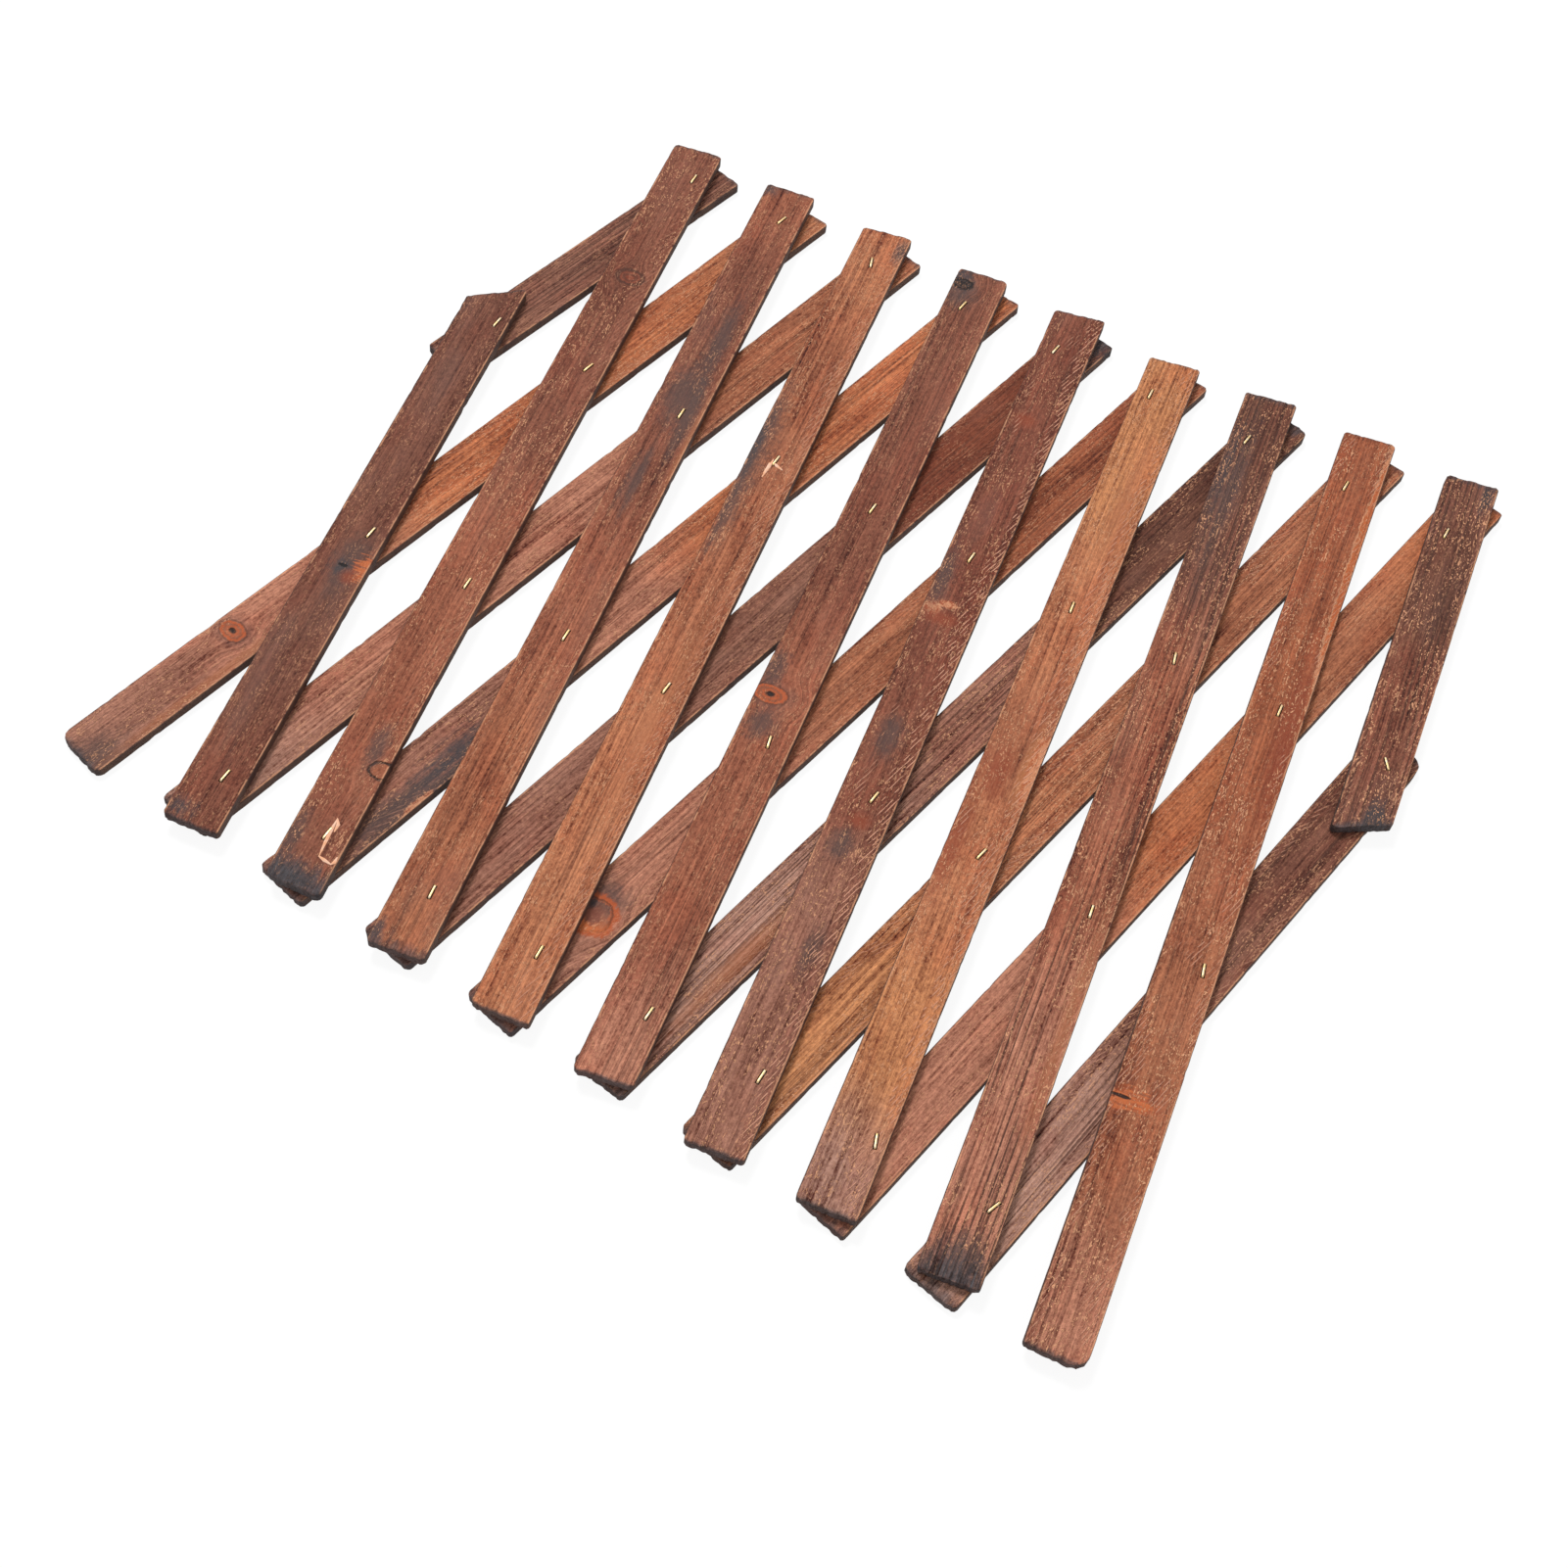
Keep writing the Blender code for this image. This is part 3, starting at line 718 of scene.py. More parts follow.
def slat_width():
    """Width of a slat, as the distance between the two long edges of the first one."""
    line = LAYER_LINES["back"]
    side = Vector((line.y, -line.x, 0.0))
    solid = frame["nodes"][BACK_SLATS[2]].data.vertices
    low = min(v.co.dot(line) for v in solid)
    near_end = [v.co.dot(side) for v in solid if v.co.dot(line) < low + SLAT_THICKNESS * 2]
    return round(max(near_end) - min(near_end), 4)


SLAT_WIDTH = slat_width()


def steps(low, high, spacing):
    count = max(1, round((high - low) / spacing))
    return [low + (high - low) * i / count for i in range(1, count)]


def plane_facets(work, slat, plan, depth):
    """Lowers the upper long edge where it is planed off at a slant."""
    for mark in marks_of(slat):
        if mark.kind != "facet":
            continue
        middle = plan.along(mark.along_share)
        for vert in work.verts:
            aside = abs(plan.across(vert.co) - mark.across_share * SLAT_WIDTH) / (mark.width / 2)
            ahead = (vert.co.y - middle) / (mark.length / 2)
            height = max(0.0, 2.0 * vert.co.z / SLAT_THICKNESS - 1.0)
            share = max(0.0, 1.0 - aside) * math.sqrt(max(0.0, 1.0 - ahead * ahead))
            vert.co.z -= depth * height * share


def sawn_mesh(slat, plan, facet_depth):
    """A copy of the slat's solid, cut into a fine grid, with its place and room attributes."""
    work = bmesh.new()
    work.from_mesh(frame["nodes"][slat].data)
    bmesh.ops.remove_doubles(work, verts=work.verts, dist=MERGE_DISTANCE)
    work.transform(plan.to_own)
    bmesh.ops.dissolve_limit(work, angle_limit=FLAT_ANGLE, verts=work.verts, edges=work.edges)
    rows = steps(plan.near_y, plan.far_y, ROW_SPACING)
    for distance in END_ROWS:
        rows += [plan.near_y + distance, plan.far_y - distance]
    half = SLAT_WIDTH / 2
    columns = steps(-half, half, COLUMN_SPACING)
    for distance in EDGE_COLUMNS:
        columns += [distance - half, half - distance]
    skew = (plan.far_x - plan.near_x) / plan.length
    lean = Vector((1.0, -skew, 0.0)).normalized()
    cuts = [(Vector((0.0, y, 0.0)), Vector((0.0, 1.0, 0.0))) for y in rows]
    cuts += [(Vector((plan.near_x + x, plan.near_y, 0.0)), lean) for x in columns]
    for where, normal in cuts:
        parts = work.verts[:] + work.edges[:] + work.faces[:]
        bmesh.ops.bisect_plane(work, geom=parts, dist=MERGE_DISTANCE, plane_co=where, plane_no=normal)
    places = [plan.place(v.co) for v in work.verts]
    rooms = [plan.room(v.co) for v in work.verts]
    plane_facets(work, slat, plan, facet_depth)
    work.transform(plan.to_world)
    mesh = mesh_of(work, f"sawn_{slat}")
    for name, values in ((PLACE, places), (ROOM, rooms)):
        layer = mesh.attributes.new(name, "FLOAT_VECTOR", "POINT")
        layer.data.foreach_set("vector", [c for value in values for c in value])
    return mesh


def weathering_tree():
    """Geometry Nodes: tears the sawn ends, rubs down the edges and nicks them."""
    floats = ("End Tear", "End Reach", "Edge Wear", "Edge Nick", "Seed")
    tree, g, given = new_tree("weathered slat", {"Vector": ("Along", "Across"), "Float": floats})
    slat, along, across, end_tear, end_reach, edge_wear, edge_nick, seed, material = given
    x, y, z = g.split(named(g, PLACE))
    side, far, near = g.split(named(g, ROOM))
    pushes = []
    for room, shift, layer in ((near, seed * 3.1, seed), (far, seed * -1.7, seed + 9.0)):
        shape = g.noise(x * 330.0 + shift, layer, z * 110.0, 3.0, 0.6)
        tear = g.rise(shape, 0.44, 0.60) * end_tear
        pushes.append(g.rise(room, end_reach, 0.0) * tear)
    push = pushes[0] - pushes[1]
    height = abs(z - SLAT_THICKNESS / 2) / (SLAT_THICKNESS / 2)
    skin = g.rise(height, 0.5, 0.95)
    end_room = near.math("MINIMUM", far)
    end_wear = g.rise(end_room, edge_wear * 5.0, 0.0) * skin * edge_wear * 0.8
    nick_shape = g.noise(x * 30.0, y * 190.0 + seed * 5.0, z * 60.0, 3.0, 0.75)
    nicks = g.rise(nick_shape, 0.52, 0.78)
    rubbed = g.rise(side, 0.0016, 0.0) * skin
    sink = rubbed * edge_wear * (nicks * 1.4 + 0.6) + end_wear
    up = (z - SLAT_THICKNESS / 2).math("SIGN")
    pull = g.rise(side, 0.0012, 0.0) * nicks * edge_nick * x.math("SIGN") * -1.0
    wave = g.noise(x * 60.0, y * 14.0 + seed, z, 2.0, 0.5) - 0.5
    hollow = g.rise(side, 0.0, 0.0020) * skin * (wave * 0.00022 + 0.00011)
    aside = g.vector("ADD", g.scaled(along, push), g.scaled(across, pull))
    total = g.vector("ADD", aside, g.join(0.0, 0.0, -up * (sink + hollow)))
    moved = g.add("GeometryNodeSetPosition", {"Geometry": slat, "Offset": total})
    end_tree(g, moved, material)
    return tree


def mark_place(g, mark, plan, x, y, seed):
    """Distance from a mark's middle in its own radii, with a wavering outline, and how far along."""
    dx = (x - mark.across_share * SLAT_WIDTH) / (mark.width / 2)
    dy = (y - plan.along(mark.along_share)) / (mark.length / 2)
    wobble = g.noise(x * 260.0, y * 190.0, seed, 3.0, 0.6) - 0.5
    return (dx * dx + dy * dy).math("SQRT") + wobble * WAVERS.get(mark.kind, WAVER), dy


def grain_bend(g, marks, x):
    """The place across the slat, drawn aside round each knot as the grain is."""
    bent = x
    for mark, away, _ in marks:
        if mark.kind in ("knot", "ember", "black", "ring", "arcs"):
            centre = mark.across_share * SLAT_WIDTH
            bent = bent - (x - centre) * g.rise(away, 3.2, 0.4) * 0.75
    return bent


def tone_marks(g, coat, marks, grain):
    """Knots, scorched streaks, worn and torn places, with painted shade in holes and cracks and a painted
    highlight on the facet. Gives the depth of pits.
    """
    pit = grain.grit * 0.0
    for mark, away, ahead in marks:
        rough = away + (grain.grit - 0.5) * 0.8
        if mark.kind in PATCHES:
            tone, streaky, strength = PATCHES[mark.kind]
            coat.lay(g.rise(rough + (grain.bands - 0.5) * streaky, 1.25, 0.2) * strength, tone)
            continue
        inside = g.rise(rough, 1.08, 0.92)
        hole = None
        if mark.kind == "knot":
            coat.lay(inside * 0.5, "blush")
            coat.ring(away, 0.94, 0.30, 0.85, "pore")
            coat.ring(away, 0.45, 0.20, 0.6, "pore")
        elif mark.kind == "ember":
            coat.lay(g.rise(away, 2.0, 1.0) * 0.35, "ash")
            coat.lay(inside * 0.65, "mahogany")
            coat.ring(rough, 0.86, 0.18, 0.85, "ember")
            coat.ring(rough, 0.42, 0.16, 0.70, "ember")
            coat.ring(away, 1.06, 0.12, 0.5, "pore")
            hole = g.rise(away, 0.30, 0.16)
        elif mark.kind == "arcs":
            coat.lay(inside * 0.6, "ash")
            coat.lay(g.rise(rough, 0.7, 0.2) * 0.45, "blush")
            coat.ring(rough, 0.94, 0.26, 0.9, "ember")
            coat.ring(away, 0.84, 0.07, 0.7, "pore")
            low = g.rise(ahead, 0.5, -0.7)
            coat.ring(rough, 0.66, 0.38, low * 0.9 + 0.08, "flare_and_highlight")
        elif mark.kind == "black":
            hole = g.rise(away, 1.05, 0.75) * (1.0 - g.ring(away, 0.55, 0.16) * 0.5)
        elif mark.kind == "crack":
            hole = g.rise(away, 1.05, 0.7)
        elif mark.kind == "ring":
            coat.lay(inside * 0.2, "orange")
            hole = g.ring(away, 0.92, 0.20) * 0.95
        elif mark.kind == "flame":
            coat.lay(inside * 0.35, "ember")
            coat.lay(g.rise(rough + (grain.rays - 0.5) * 5.0, 0.95, 0.45) * 0.75, "flare_and_highlight")
        elif mark.kind == "scar":
            coat.lay(g.rise(away, 1.3, 0.8) * 0.5, "ember")
            coat.lay(g.rise(away + (grain.grit - 0.5) * 8.0, 1.0, 0.7) * 0.6, "fibre")
        elif mark.kind == "facet":
            # Painted highlight: the bright tone stands for the light that the slanting facet catches, with a
            # pale line round it
            coat.lay(g.rise(away, 1.02, 0.96) * 0.8, "flare_and_highlight")
            coat.ring(rough, 1.0, 0.16, 0.6, "fibre")
        # Painted shade: holes and cracks are laid black for the shade inside them, which the mesh has only
        # as a bump; on black knots the black is also the knot's own colour
        if hole:
            coat.lay(hole * 0.95, "hole")
            pit = pit.math("MAXIMUM", hole)
    return pit


def saw_lines(g, at, look, marks):
    """Fine parallel lines that the saw left across the grain. Gives the lines and their patches."""
    across, along = math.cos(SAW_ANGLE), math.sin(SAW_ANGLE)
    u = at.x * across - at.y * along
    v = at.x * along + at.y * across
    drift = g.noise(at.x * 90.0, at.y * 40.0, at.seed, 2.0) * 9.0
    wave = (u * (math.tau / SAW_SPACING) + drift).math("SINE")
    broken = g.rise(g.noise(u * 600.0 + at.seed, v * 190.0, at.seed, 2.0), 0.46, 0.54)
    zone = g.noise(at.x * 70.0, at.y * 20.0 + at.seed * 2.0, at.seed, 3.0, 0.6)
    if look.saw_side:
        edge = g.rise(at.x * look.saw_side, 0.0015, 0.0110) * 0.34
    else:
        edge = g.rise(at.side, 0.0090, 0.0010) * 0.20
    for mark, away, _ in marks:
        if mark.kind == "sawn":
            edge = edge + g.rise(away, 1.2, 0.4) * 0.30
    zone = g.rise(zone + edge, 0.57, 0.73)
    return g.rise(wave, 0.15, 0.90) * broken * zone, zone


def grain_patterns(g, at, look):
    """Patterns from 0 to 1: bands, streaks and lines along the grain, and the finer ones on it."""
    x, y, z, bent, seed = at.x, at.y, at.z, at.bent, at.seed
    bands = g.noise(bent * 230.0 + seed, y * 4.0, z * 150.0, 3.0, 0.6)
    streaks = g.noise(bent * 900.0 + seed, y * 8.0, z * 500.0, 3.0, 0.65)
    threads = g.noise(bent * 1700.0 - seed, y * 26.0, z * 900.0, 2.0, 0.6)
    lines = g.rise(g.noise(bent * 620.0 - seed, y * 3.0, z * 400.0, 2.0, 0.6), 0.57, 0.65)
    drift = g.noise(bent * 60.0, y * 6.0 + seed, seed, 2.0)
    rings = ((bent + (streaks - 0.5) * 0.0008) * (math.tau / RING_SPACING) + drift * 9.0).math("SINE")
    lines = lines.math("MAXIMUM", g.rise(rings, 0.55, 0.95) * g.rise(drift, 0.44, 0.56) * look.lines)
    grit = g.noise(x * 850.0, y * 470.0 + seed, z * 900.0, 4.0, 0.75)
    rays = g.noise(x * 130.0, y * 900.0, seed, 2.0)
    clouds = g.noise(x * 55.0 + seed, y * 16.0, seed, 4.0, 0.6)
    flush = g.rise(g.noise(x * 75.0 - seed, y * 24.0, seed, 3.0, 0.6), 0.46, 0.68)
    return Grain(bands, streaks, threads, lines, grit, rays, clouds, flush)


def stain(g, look, tones, grain, ramp):
    """The stain from the near to the far end, with painted sheen in the pale greyish tones at the near end.
    Gives its coat and the tint of the grain.
    """
    stops = look.tones.split()
    coat = Coat(g, tones, stops[0])
    for i, stop in enumerate(stops[1:]):
        start = (i + 0.15) / (len(stops) - 1)
        end = (i + 0.85) / (len(stops) - 1)
        coat.lay(g.rise(ramp + (grain.clouds - 0.5) * 0.12, start, end), stop)
    shade = (grain.bands - 0.5) * (0.5 + look.grain * 1.3)
    shade = shade + (grain.streaks - 0.5) * (0.7 + look.grain * 1.9)
    shade = shade + (grain.threads - 0.5) * (1.2 + look.grain * 1.2)
    shade = shade + (grain.grit - 0.5) * 2.8 + (grain.clouds - 0.5) * 1.5
    tint = g.join(shade * 0.90 + 1.0, shade * 1.08 + 1.0, shade * 1.12 + 1.0)
    coat.multiply(tint)
    coat.multiply(FLUSH_TINT, grain.flush * 0.75)
    coat.lay(g.rise(grain.clouds, 0.50, 0.72) * (look.blotches * 0.6), "ash")
    coat.lay(grain.lines * (0.08 + look.lines * 0.52), "pore")
    return coat, tint


def pale_specks(g, at):
    """Short raised fibres, thicker near the long edges, from 0 to 1."""
    zone = g.noise(at.x * 110.0, at.y * 40.0 + at.seed, at.seed, 3.0, 0.6)
    zone = zone + g.rise(at.side, 0.0080, 0.0005) * 0.10
    specks = g.noise(at.x * 1700.0, at.y * 800.0 + at.seed, at.z * 900.0, 1.0)
    flecks = g.noise(at.bent * 1300.0, at.y * 240.0 - at.seed, at.z * 900.0, 1.0)
    specks = g.rise(specks, 0.60, 0.66).math("MAXIMUM", g.rise(flecks, 0.63, 0.71) * 0.8)
    return specks * (g.rise(zone, 0.44, 0.60) * 0.85 + 0.15)


def pale_edges_and_side_shade(g, coat, at, end_face):
    """Pales the long edges, a little more on the right one, and paints shade on the narrow faces and along
    the edges of the top and bottom faces.
    """
    wear = g.noise(at.x * 20.0, at.y * 120.0 + at.seed, at.z * 80.0, 3.0, 0.7)
    wear = g.rise(wear + g.rise(at.x, 0.0, 0.01) * 0.10, 0.50, 0.62)
    coat.lay(g.rise(at.side, 0.0012, 0.0005) * wear * 0.65, "fibre")
    # Painted shade: the narrow faces and a thin line along the long edges of the top and bottom faces get
    # the dark side tone, a little less on the end faces
    flat = g.rise(at.side, 0.00010, 0.00050)
    top = g.rise(abs(at.z - SLAT_THICKNESS / 2), SLAT_THICKNESS * 0.40, SLAT_THICKNESS * 0.47)
    coat.lay((1.0 - flat * top) * (0.9 - end_face * 0.25), "side_stain_and_shade")


def scorched_ends(g, at, look, grain, end_room, end_face):
    """How far the wood is scorched towards both ends, from 0 to 1."""
    fringe = g.noise(at.bent * 330.0 + at.seed, at.y * 50.0, at.z * 200.0, 3.0, 0.6) - 0.5
    scorch = g.rise(end_room + fringe * 0.0016, 0.0009, 0.0003) * 0.75
    for room, depth in ((at.far, look.far_scorch), (at.near, look.near_scorch)):
        burnt = room + fringe * (depth * 2.2) + (grain.grit - 0.5) * (depth * 1.2)
        burnt = g.rise(burnt, depth * 1.15, 0.0)
        scorch = scorch.math("MAXIMUM", burnt * (0.45 + min(depth, 0.013) * 34.0))
    return scorch * (1.0 - end_face * 0.15)


def wood_material(slat, plan, wood, wear, number):
    """Stained softwood of one slat, in the slat's own measure, with painted shade on the narrow faces and
    along the edges, and painted sheen and highlights in some of its tones.
    """
    look = look_of(slat)
    material, g = new_material(f"stained_{slat}")
    tones = {n: (*getattr(wood, n), 1.0) for n in wood.__annotations__}
    seed = number * PATTERN_STEP
    x, y, z = g.attribute(PLACE)
    side, far, near = g.attribute(ROOM)
    marks = [(m, *mark_place(g, m, plan, x, y, seed)) for m in marks_of(slat)]
    sway = (g.noise(x * 8.0, y * 5.0, seed, 1.0) - 0.5) * 0.005
    at = Spot(x, y, z, side, far, near, grain_bend(g, marks, x) + sway, seed)
    grain = grain_patterns(g, at, look)

    ramp = g.rise(y, plan.near_y, plan.far_y, "LINEAR")
    coat, tint = stain(g, look, tones, grain, ramp)
    pit = tone_marks(g, coat, marks, grain)
    specks = pale_specks(g, at)
    saw, sawn = saw_lines(g, at, look, marks)
    coat.multiply(SAWN_TINT, sawn * (look.saw * 0.5))
    coat.lay(specks * (look.specks * 0.80), "fibre")
    coat.lay(saw * (look.saw * 0.85), "cut")
    end_room = near.math("MINIMUM", far)
    end_face = g.rise(end_room, 0.0005, 0.0001)
    pale_edges_and_side_shade(g, coat, at, end_face)
    scorch = scorched_ends(g, at, look, grain, end_room, end_face)
    charred = g.mix(1.0, tones["char"], tint, "MULTIPLY")

    raised = grain.streaks * 0.6 + grain.threads * 0.8 + grain.grit * 1.8
    raised = raised - grain.lines * (0.1 + look.lines * 0.4)
    raised = raised + specks * look.specks * 0.8 + saw * look.saw - pit * 2.0
    g.shade(
        {
            "Base Color": g.mix(scorch, coat.colour, charred),
            "Roughness": 0.60 + grain.bands * 0.12 + grain.grit * 0.08 + scorch * 0.1,
            "Normal": g.bump(0.9, wear.relief, raised),
            "Specular IOR Level": 0.22,
        }
    )
    return material


def dress_slats(slats, settings):
    """Saws, weathers and stains each slat, with painted shade and sheen in its colour, and lets it stand for
    its solid.
    """
    wood, wear = settings.trellis_wood, settings.trellis_wear
    tree = weathering_tree()
    for slat in slats:
        number = (FRONT_SLATS + BACK_SLATS).index(slat) + 1
        plan = SlatPlan(slat)
        line = line_of(slat)
        material = wood_material(slat, plan, wood, wear, number)
        values = {
            "Along": tuple(line),
            "Across": (line.y, -line.x, 0.0),
            "End Tear": wear.end_tear,
            "End Reach": wear.end_reach,
            "Edge Wear": wear.edge_wear,
            "Edge Nick": wear.edge_nick,
            "Seed": float(number),
            "Material": material,
        }
        rough = sawn_mesh(slat, plan, wear.facet_depth)
        mesh = smoothed(rough, tree, values)
        add_piece(f"stained_{slat}", mesh, slat, [slat])


class TRELLIS_OT_front_slats(bpy.types.Operator):
    """Builds the stained slats of the front layer"""

    bl_idname = "trellis.front_slats"
    bl_label = "Front slats"

    def execute(self, context):
        dress_slats(FRONT_SLATS, context.scene)
        return {"FINISHED"}


class TRELLIS_OT_back_slats(bpy.types.Operator):
    """Builds the stained slats of the back layer"""

    bl_idname = "trellis.back_slats"
    bl_label = "Back slats"

    def execute(self, context):
        dress_slats(BACK_SLATS, context.scene)
        return {"FINISHED"}


def fibre_material(name, colour, shadow):
    """Pale fibre with a darker tone in patches."""
    material, g = new_material(name)
    tint = g.noise(*(c * 300.0 for c in g.split(g.place())))
    shade = g.mix(g.rise(tint, 0.35, 0.65), (*colour, 1.0), (*shadow, 1.0))
    bump = g.bump(0.3, 0.0001, tint)
    g.shade({"Base Color": shade, "Roughness": 0.65 + tint * 0.2, "Normal": bump})
    return material


def fibre_tree():
    """Geometry Nodes: scatters short slanting fibres over the upper face of a slat."""
    floats = ("Density", "Fibre Length", "Fibre Width", "Heading")
    tree, g, given = new_tree("saw fibres", {"Float": floats, "Int": ("Seed",)})
    slat, density, length, width, heading, seed, material = given
    x, y, z = g.split(named(g, PLACE))
    side, far, near = g.split(named(g, ROOM))
    zone = g.noise(x * 70.0, y * 22.0 + seed, 0.0, 3.0, 0.6)
    zone = g.rise(zone + g.rise(side, 0.006, 0.0005) * 0.16, 0.50, 0.68)
    top = g.rise(z, SLAT_THICKNESS * 0.97, SLAT_THICKNESS * 0.99)
    kept = top * g.rise(side, 0.0006, 0.0010) * g.rise(near.math("MINIMUM", far), 0.002, 0.004)
    density = density * (zone + 0.04) * kept
    sockets = {"Mesh": slat, "Density": density, "Seed": seed}
    points = g.add("GeometryNodeDistributePointsOnFaces", sockets)
    sockets = {"Vertices": 4, "Radius Top": 0.0, "Radius Bottom": width / 2.0, "Depth": length}
    sliver = g.add("GeometryNodeMeshCone", sockets)
    turn = g.join(math.radians(90.0), 0.0, heading + g.random(-0.50, -0.22))
    size = g.random(0.35, 1.0)
    shape = g.join(size, size * 0.35, size)
    sockets = {"Points": points, "Instance": sliver, "Rotation": turn, "Scale": shape}
    placed = g.add("GeometryNodeInstanceOnPoints", sockets)
    end_tree(g, placed, material)
    return tree


class TRELLIS_OT_saw_fibres(bpy.types.Operator):
    """Scatters the short pale fibres that the saw left on the slats"""

    bl_idname = "trellis.saw_fibres"
    bl_label = "Saw fibres"

    def execute(self, context):
        wood, fibres = context.scene.trellis_wood, context.scene.trellis_fibres
        tree = fibre_tree()
        material = fibre_material("saw_fibre", wood.fibre, wood.golden)
        for number, slat in enumerate(FRONT_SLATS + BACK_SLATS, 1):
            line = line_of(slat)
            values = {
                "Density": fibres.density * look_of(slat).saw,
                "Fibre Length": fibres.fibre_length,
                "Fibre Width": fibres.fibre_width,
                "Heading": math.atan2(line.y, line.x) + math.pi / 2,
                "Seed": fibres.seed + number,
                "Material": material,
            }
            surface = bpy.data.objects[f"stained_{slat}"].data
            mesh = through_tree(surface, tree, values)
            mesh.name = f"saw_fibres_{slat}"
            if not mesh.polygons:
                bpy.data.meshes.remove(mesh)
                continue
            add_piece(mesh.name, mesh, slat)
        return {"FINISHED"}


def sliver_mesh(name, path, width, height):
    """A flat sliver that tapers to both ends and follows a path of points."""
    work = bmesh.new()
    rings = []
    for i, point in enumerate(path):
        ahead = path[min(i + 1, len(path) - 1)] - path[max(i - 1, 0)]
        across = Vector((-ahead.y, ahead.x, 0.0)).normalized()
        share = math.sin(math.pi * (i + 0.25) / (len(path) - 0.5))
        half = across * width / 2 * share
        lift = Vector((0.0, 0.0, height * share))
        rings.append([work.verts.new(p) for p in (point - half, point + lift, point + half)])
    for a, b in zip(rings, rings[1:]):
        for i in range(3):
            j = (i + 1) % 3
            work.faces.new((a[i], a[j], b[j], b[i]))
    work.faces.new(rings[0][::-1])
    work.faces.new(rings[-1])
    bmesh.ops.recalc_face_normals(work, faces=work.faces)
    return mesh_of(work, name)


class TRELLIS_OT_torn_slivers(bpy.types.Operator):
    """Lays the torn pale slivers beside two of the staples"""

    bl_idname = "trellis.torn_slivers"
    bl_label = "Torn slivers"

    def execute(self, context):
        wood, fibres = context.scene.trellis_wood, context.scene.trellis_fibres
        material = fibre_material("torn_sliver", wood.bare, wood.fibre)
        for slat, slivers in TORN_SLIVERS.items():
            plan = SlatPlan(slat)
            for number, shares in enumerate(slivers, 1):
                path = []
                for along, across in shares:
                    x = across * SLAT_WIDTH + plan.near_x + (plan.far_x - plan.near_x) * along
                    path.append(plan.to_world @ Vector((x, plan.along(along), SLAT_THICKNESS)))
                name = f"torn_sliver_{slat}_{number}"
                mesh = sliver_mesh(name, path, fibres.sliver_width, fibres.fibre_width)
                mesh.materials.append(material)
                add_piece(name, mesh, slat)
        return {"FINISHED"}


def staple_tree():
    """Geometry Nodes: bends a wire into a staple and sets one on each point."""
    sizes = ("Crown Half", "Tip End", "Crown Height", "Tip Height")
    wire_sizes = ("Wire Width", "Wire Thickness", "Shoulder")
    tree, g, given = new_tree("wire staples", {"Float": sizes + wire_sizes})
    points, crown_half, tip_end, crown_height, tip_height, width, thickness, shoulder, material = given
    start = g.add("GeometryNodeMeshLine", {"Count": 6})
    wire = g.add("GeometryNodeMeshToCurve", {"Mesh": start})
    index = g.add("GeometryNodeInputIndex")
    from_middle = abs(index - 2.5)
    outer = from_middle.math("GREATER_THAN", 2.0)
    inner = from_middle.math("LESS_THAN", 1.0)
    hand = (index - 2.5).math("SIGN")
    across = hand * (crown_half + outer * (tip_end - crown_half))
    height = tip_height + inner * (crown_height - tip_height)
    shaped = g.add("GeometryNodeSetPosition", {0: wire, "Position": g.join(across, 0.0, height)})
    settings = {"mode": "POLY"}
    sockets = {"Curve": shaped, "Radius": shoulder, "Count": 4, "Limit Radius": True}
    bent = g.add("GeometryNodeFilletCurve", sockets, settings)
    sockets = {"Width": width, "Height": thickness}
    profile = g.add("GeometryNodeCurvePrimitiveQuadrilateral", sockets)
    sockets = {"Curve": profile, "Radius": thickness * 0.25, "Count": 2, "Limit Radius": True}
    rounded = g.add("GeometryNodeFilletCurve", sockets, settings)
    sockets = {"Curve": bent, "Profile Curve": rounded, "Fill Caps": True}
    solid = g.add("GeometryNodeCurveToMesh", sockets)
    turn = g.join(0.0, 0.0, named(g, CROWN_TURN, "FLOAT"))
    sockets = {"Points": points, "Instance": solid, "Rotation": turn}
    placed = g.add("GeometryNodeInstanceOnPoints", sockets)
    end_tree(g, placed, material)
    return tree


def wire_material(staples):
    """Drawn steel wire with a thin brass-coloured coat that is worn and dulled in places."""
    material, g = new_material("staple_wire")
    x, y, z = g.split(g.place())
    patches = g.noise(x * 700.0, y * 700.0, z * 700.0, 3.0, 0.6)
    drawn = g.noise(x * 5200.0, y * 900.0, z * 5200.0, 2.0)
    coat = g.mix(g.rise(patches, 0.45, 0.62), (*staples.brass, 1.0), (*staples.steel, 1.0))
    g.shade(
        {
            "Base Color": g.mix(g.rise(drawn, 0.5, 0.8) * 0.25, coat, (*staples.tarnish, 1.0)),
            "Metallic": 0.75,
            "Roughness": 0.34 + patches * 0.2,
            "Normal": g.bump(0.2, 0.00005, drawn),
        }
    )
    return material


def crown_reading(node):
    """Middle of a staple's crown, half its length, its turn about Z and how far its tips reach."""
    low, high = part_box(node)
    points = [v.co for v in frame["nodes"][node].data.vertices]
    level = SLAT_THICKNESS / 2
    tips = [p for p in points if p.z < low.z + level / 2]
    crown = [p for p in points if p.z > high.z - level / 10]
    middle = sum(crown, Vector()) / len(crown)
    first = max(crown, key=lambda p: (p - middle).length)
    rest = [p for p in crown if (p - first).length > level / 10]
    side = min(rest, key=lambda p: (p - first).length)
    end = (first + side) / 2
    line = (end - middle).normalized()
    reach = max(abs((p - middle).dot(line)) for p in tips)
    return Crown(middle, (end - middle).length, math.atan2(line.y, line.x), reach, low.z)


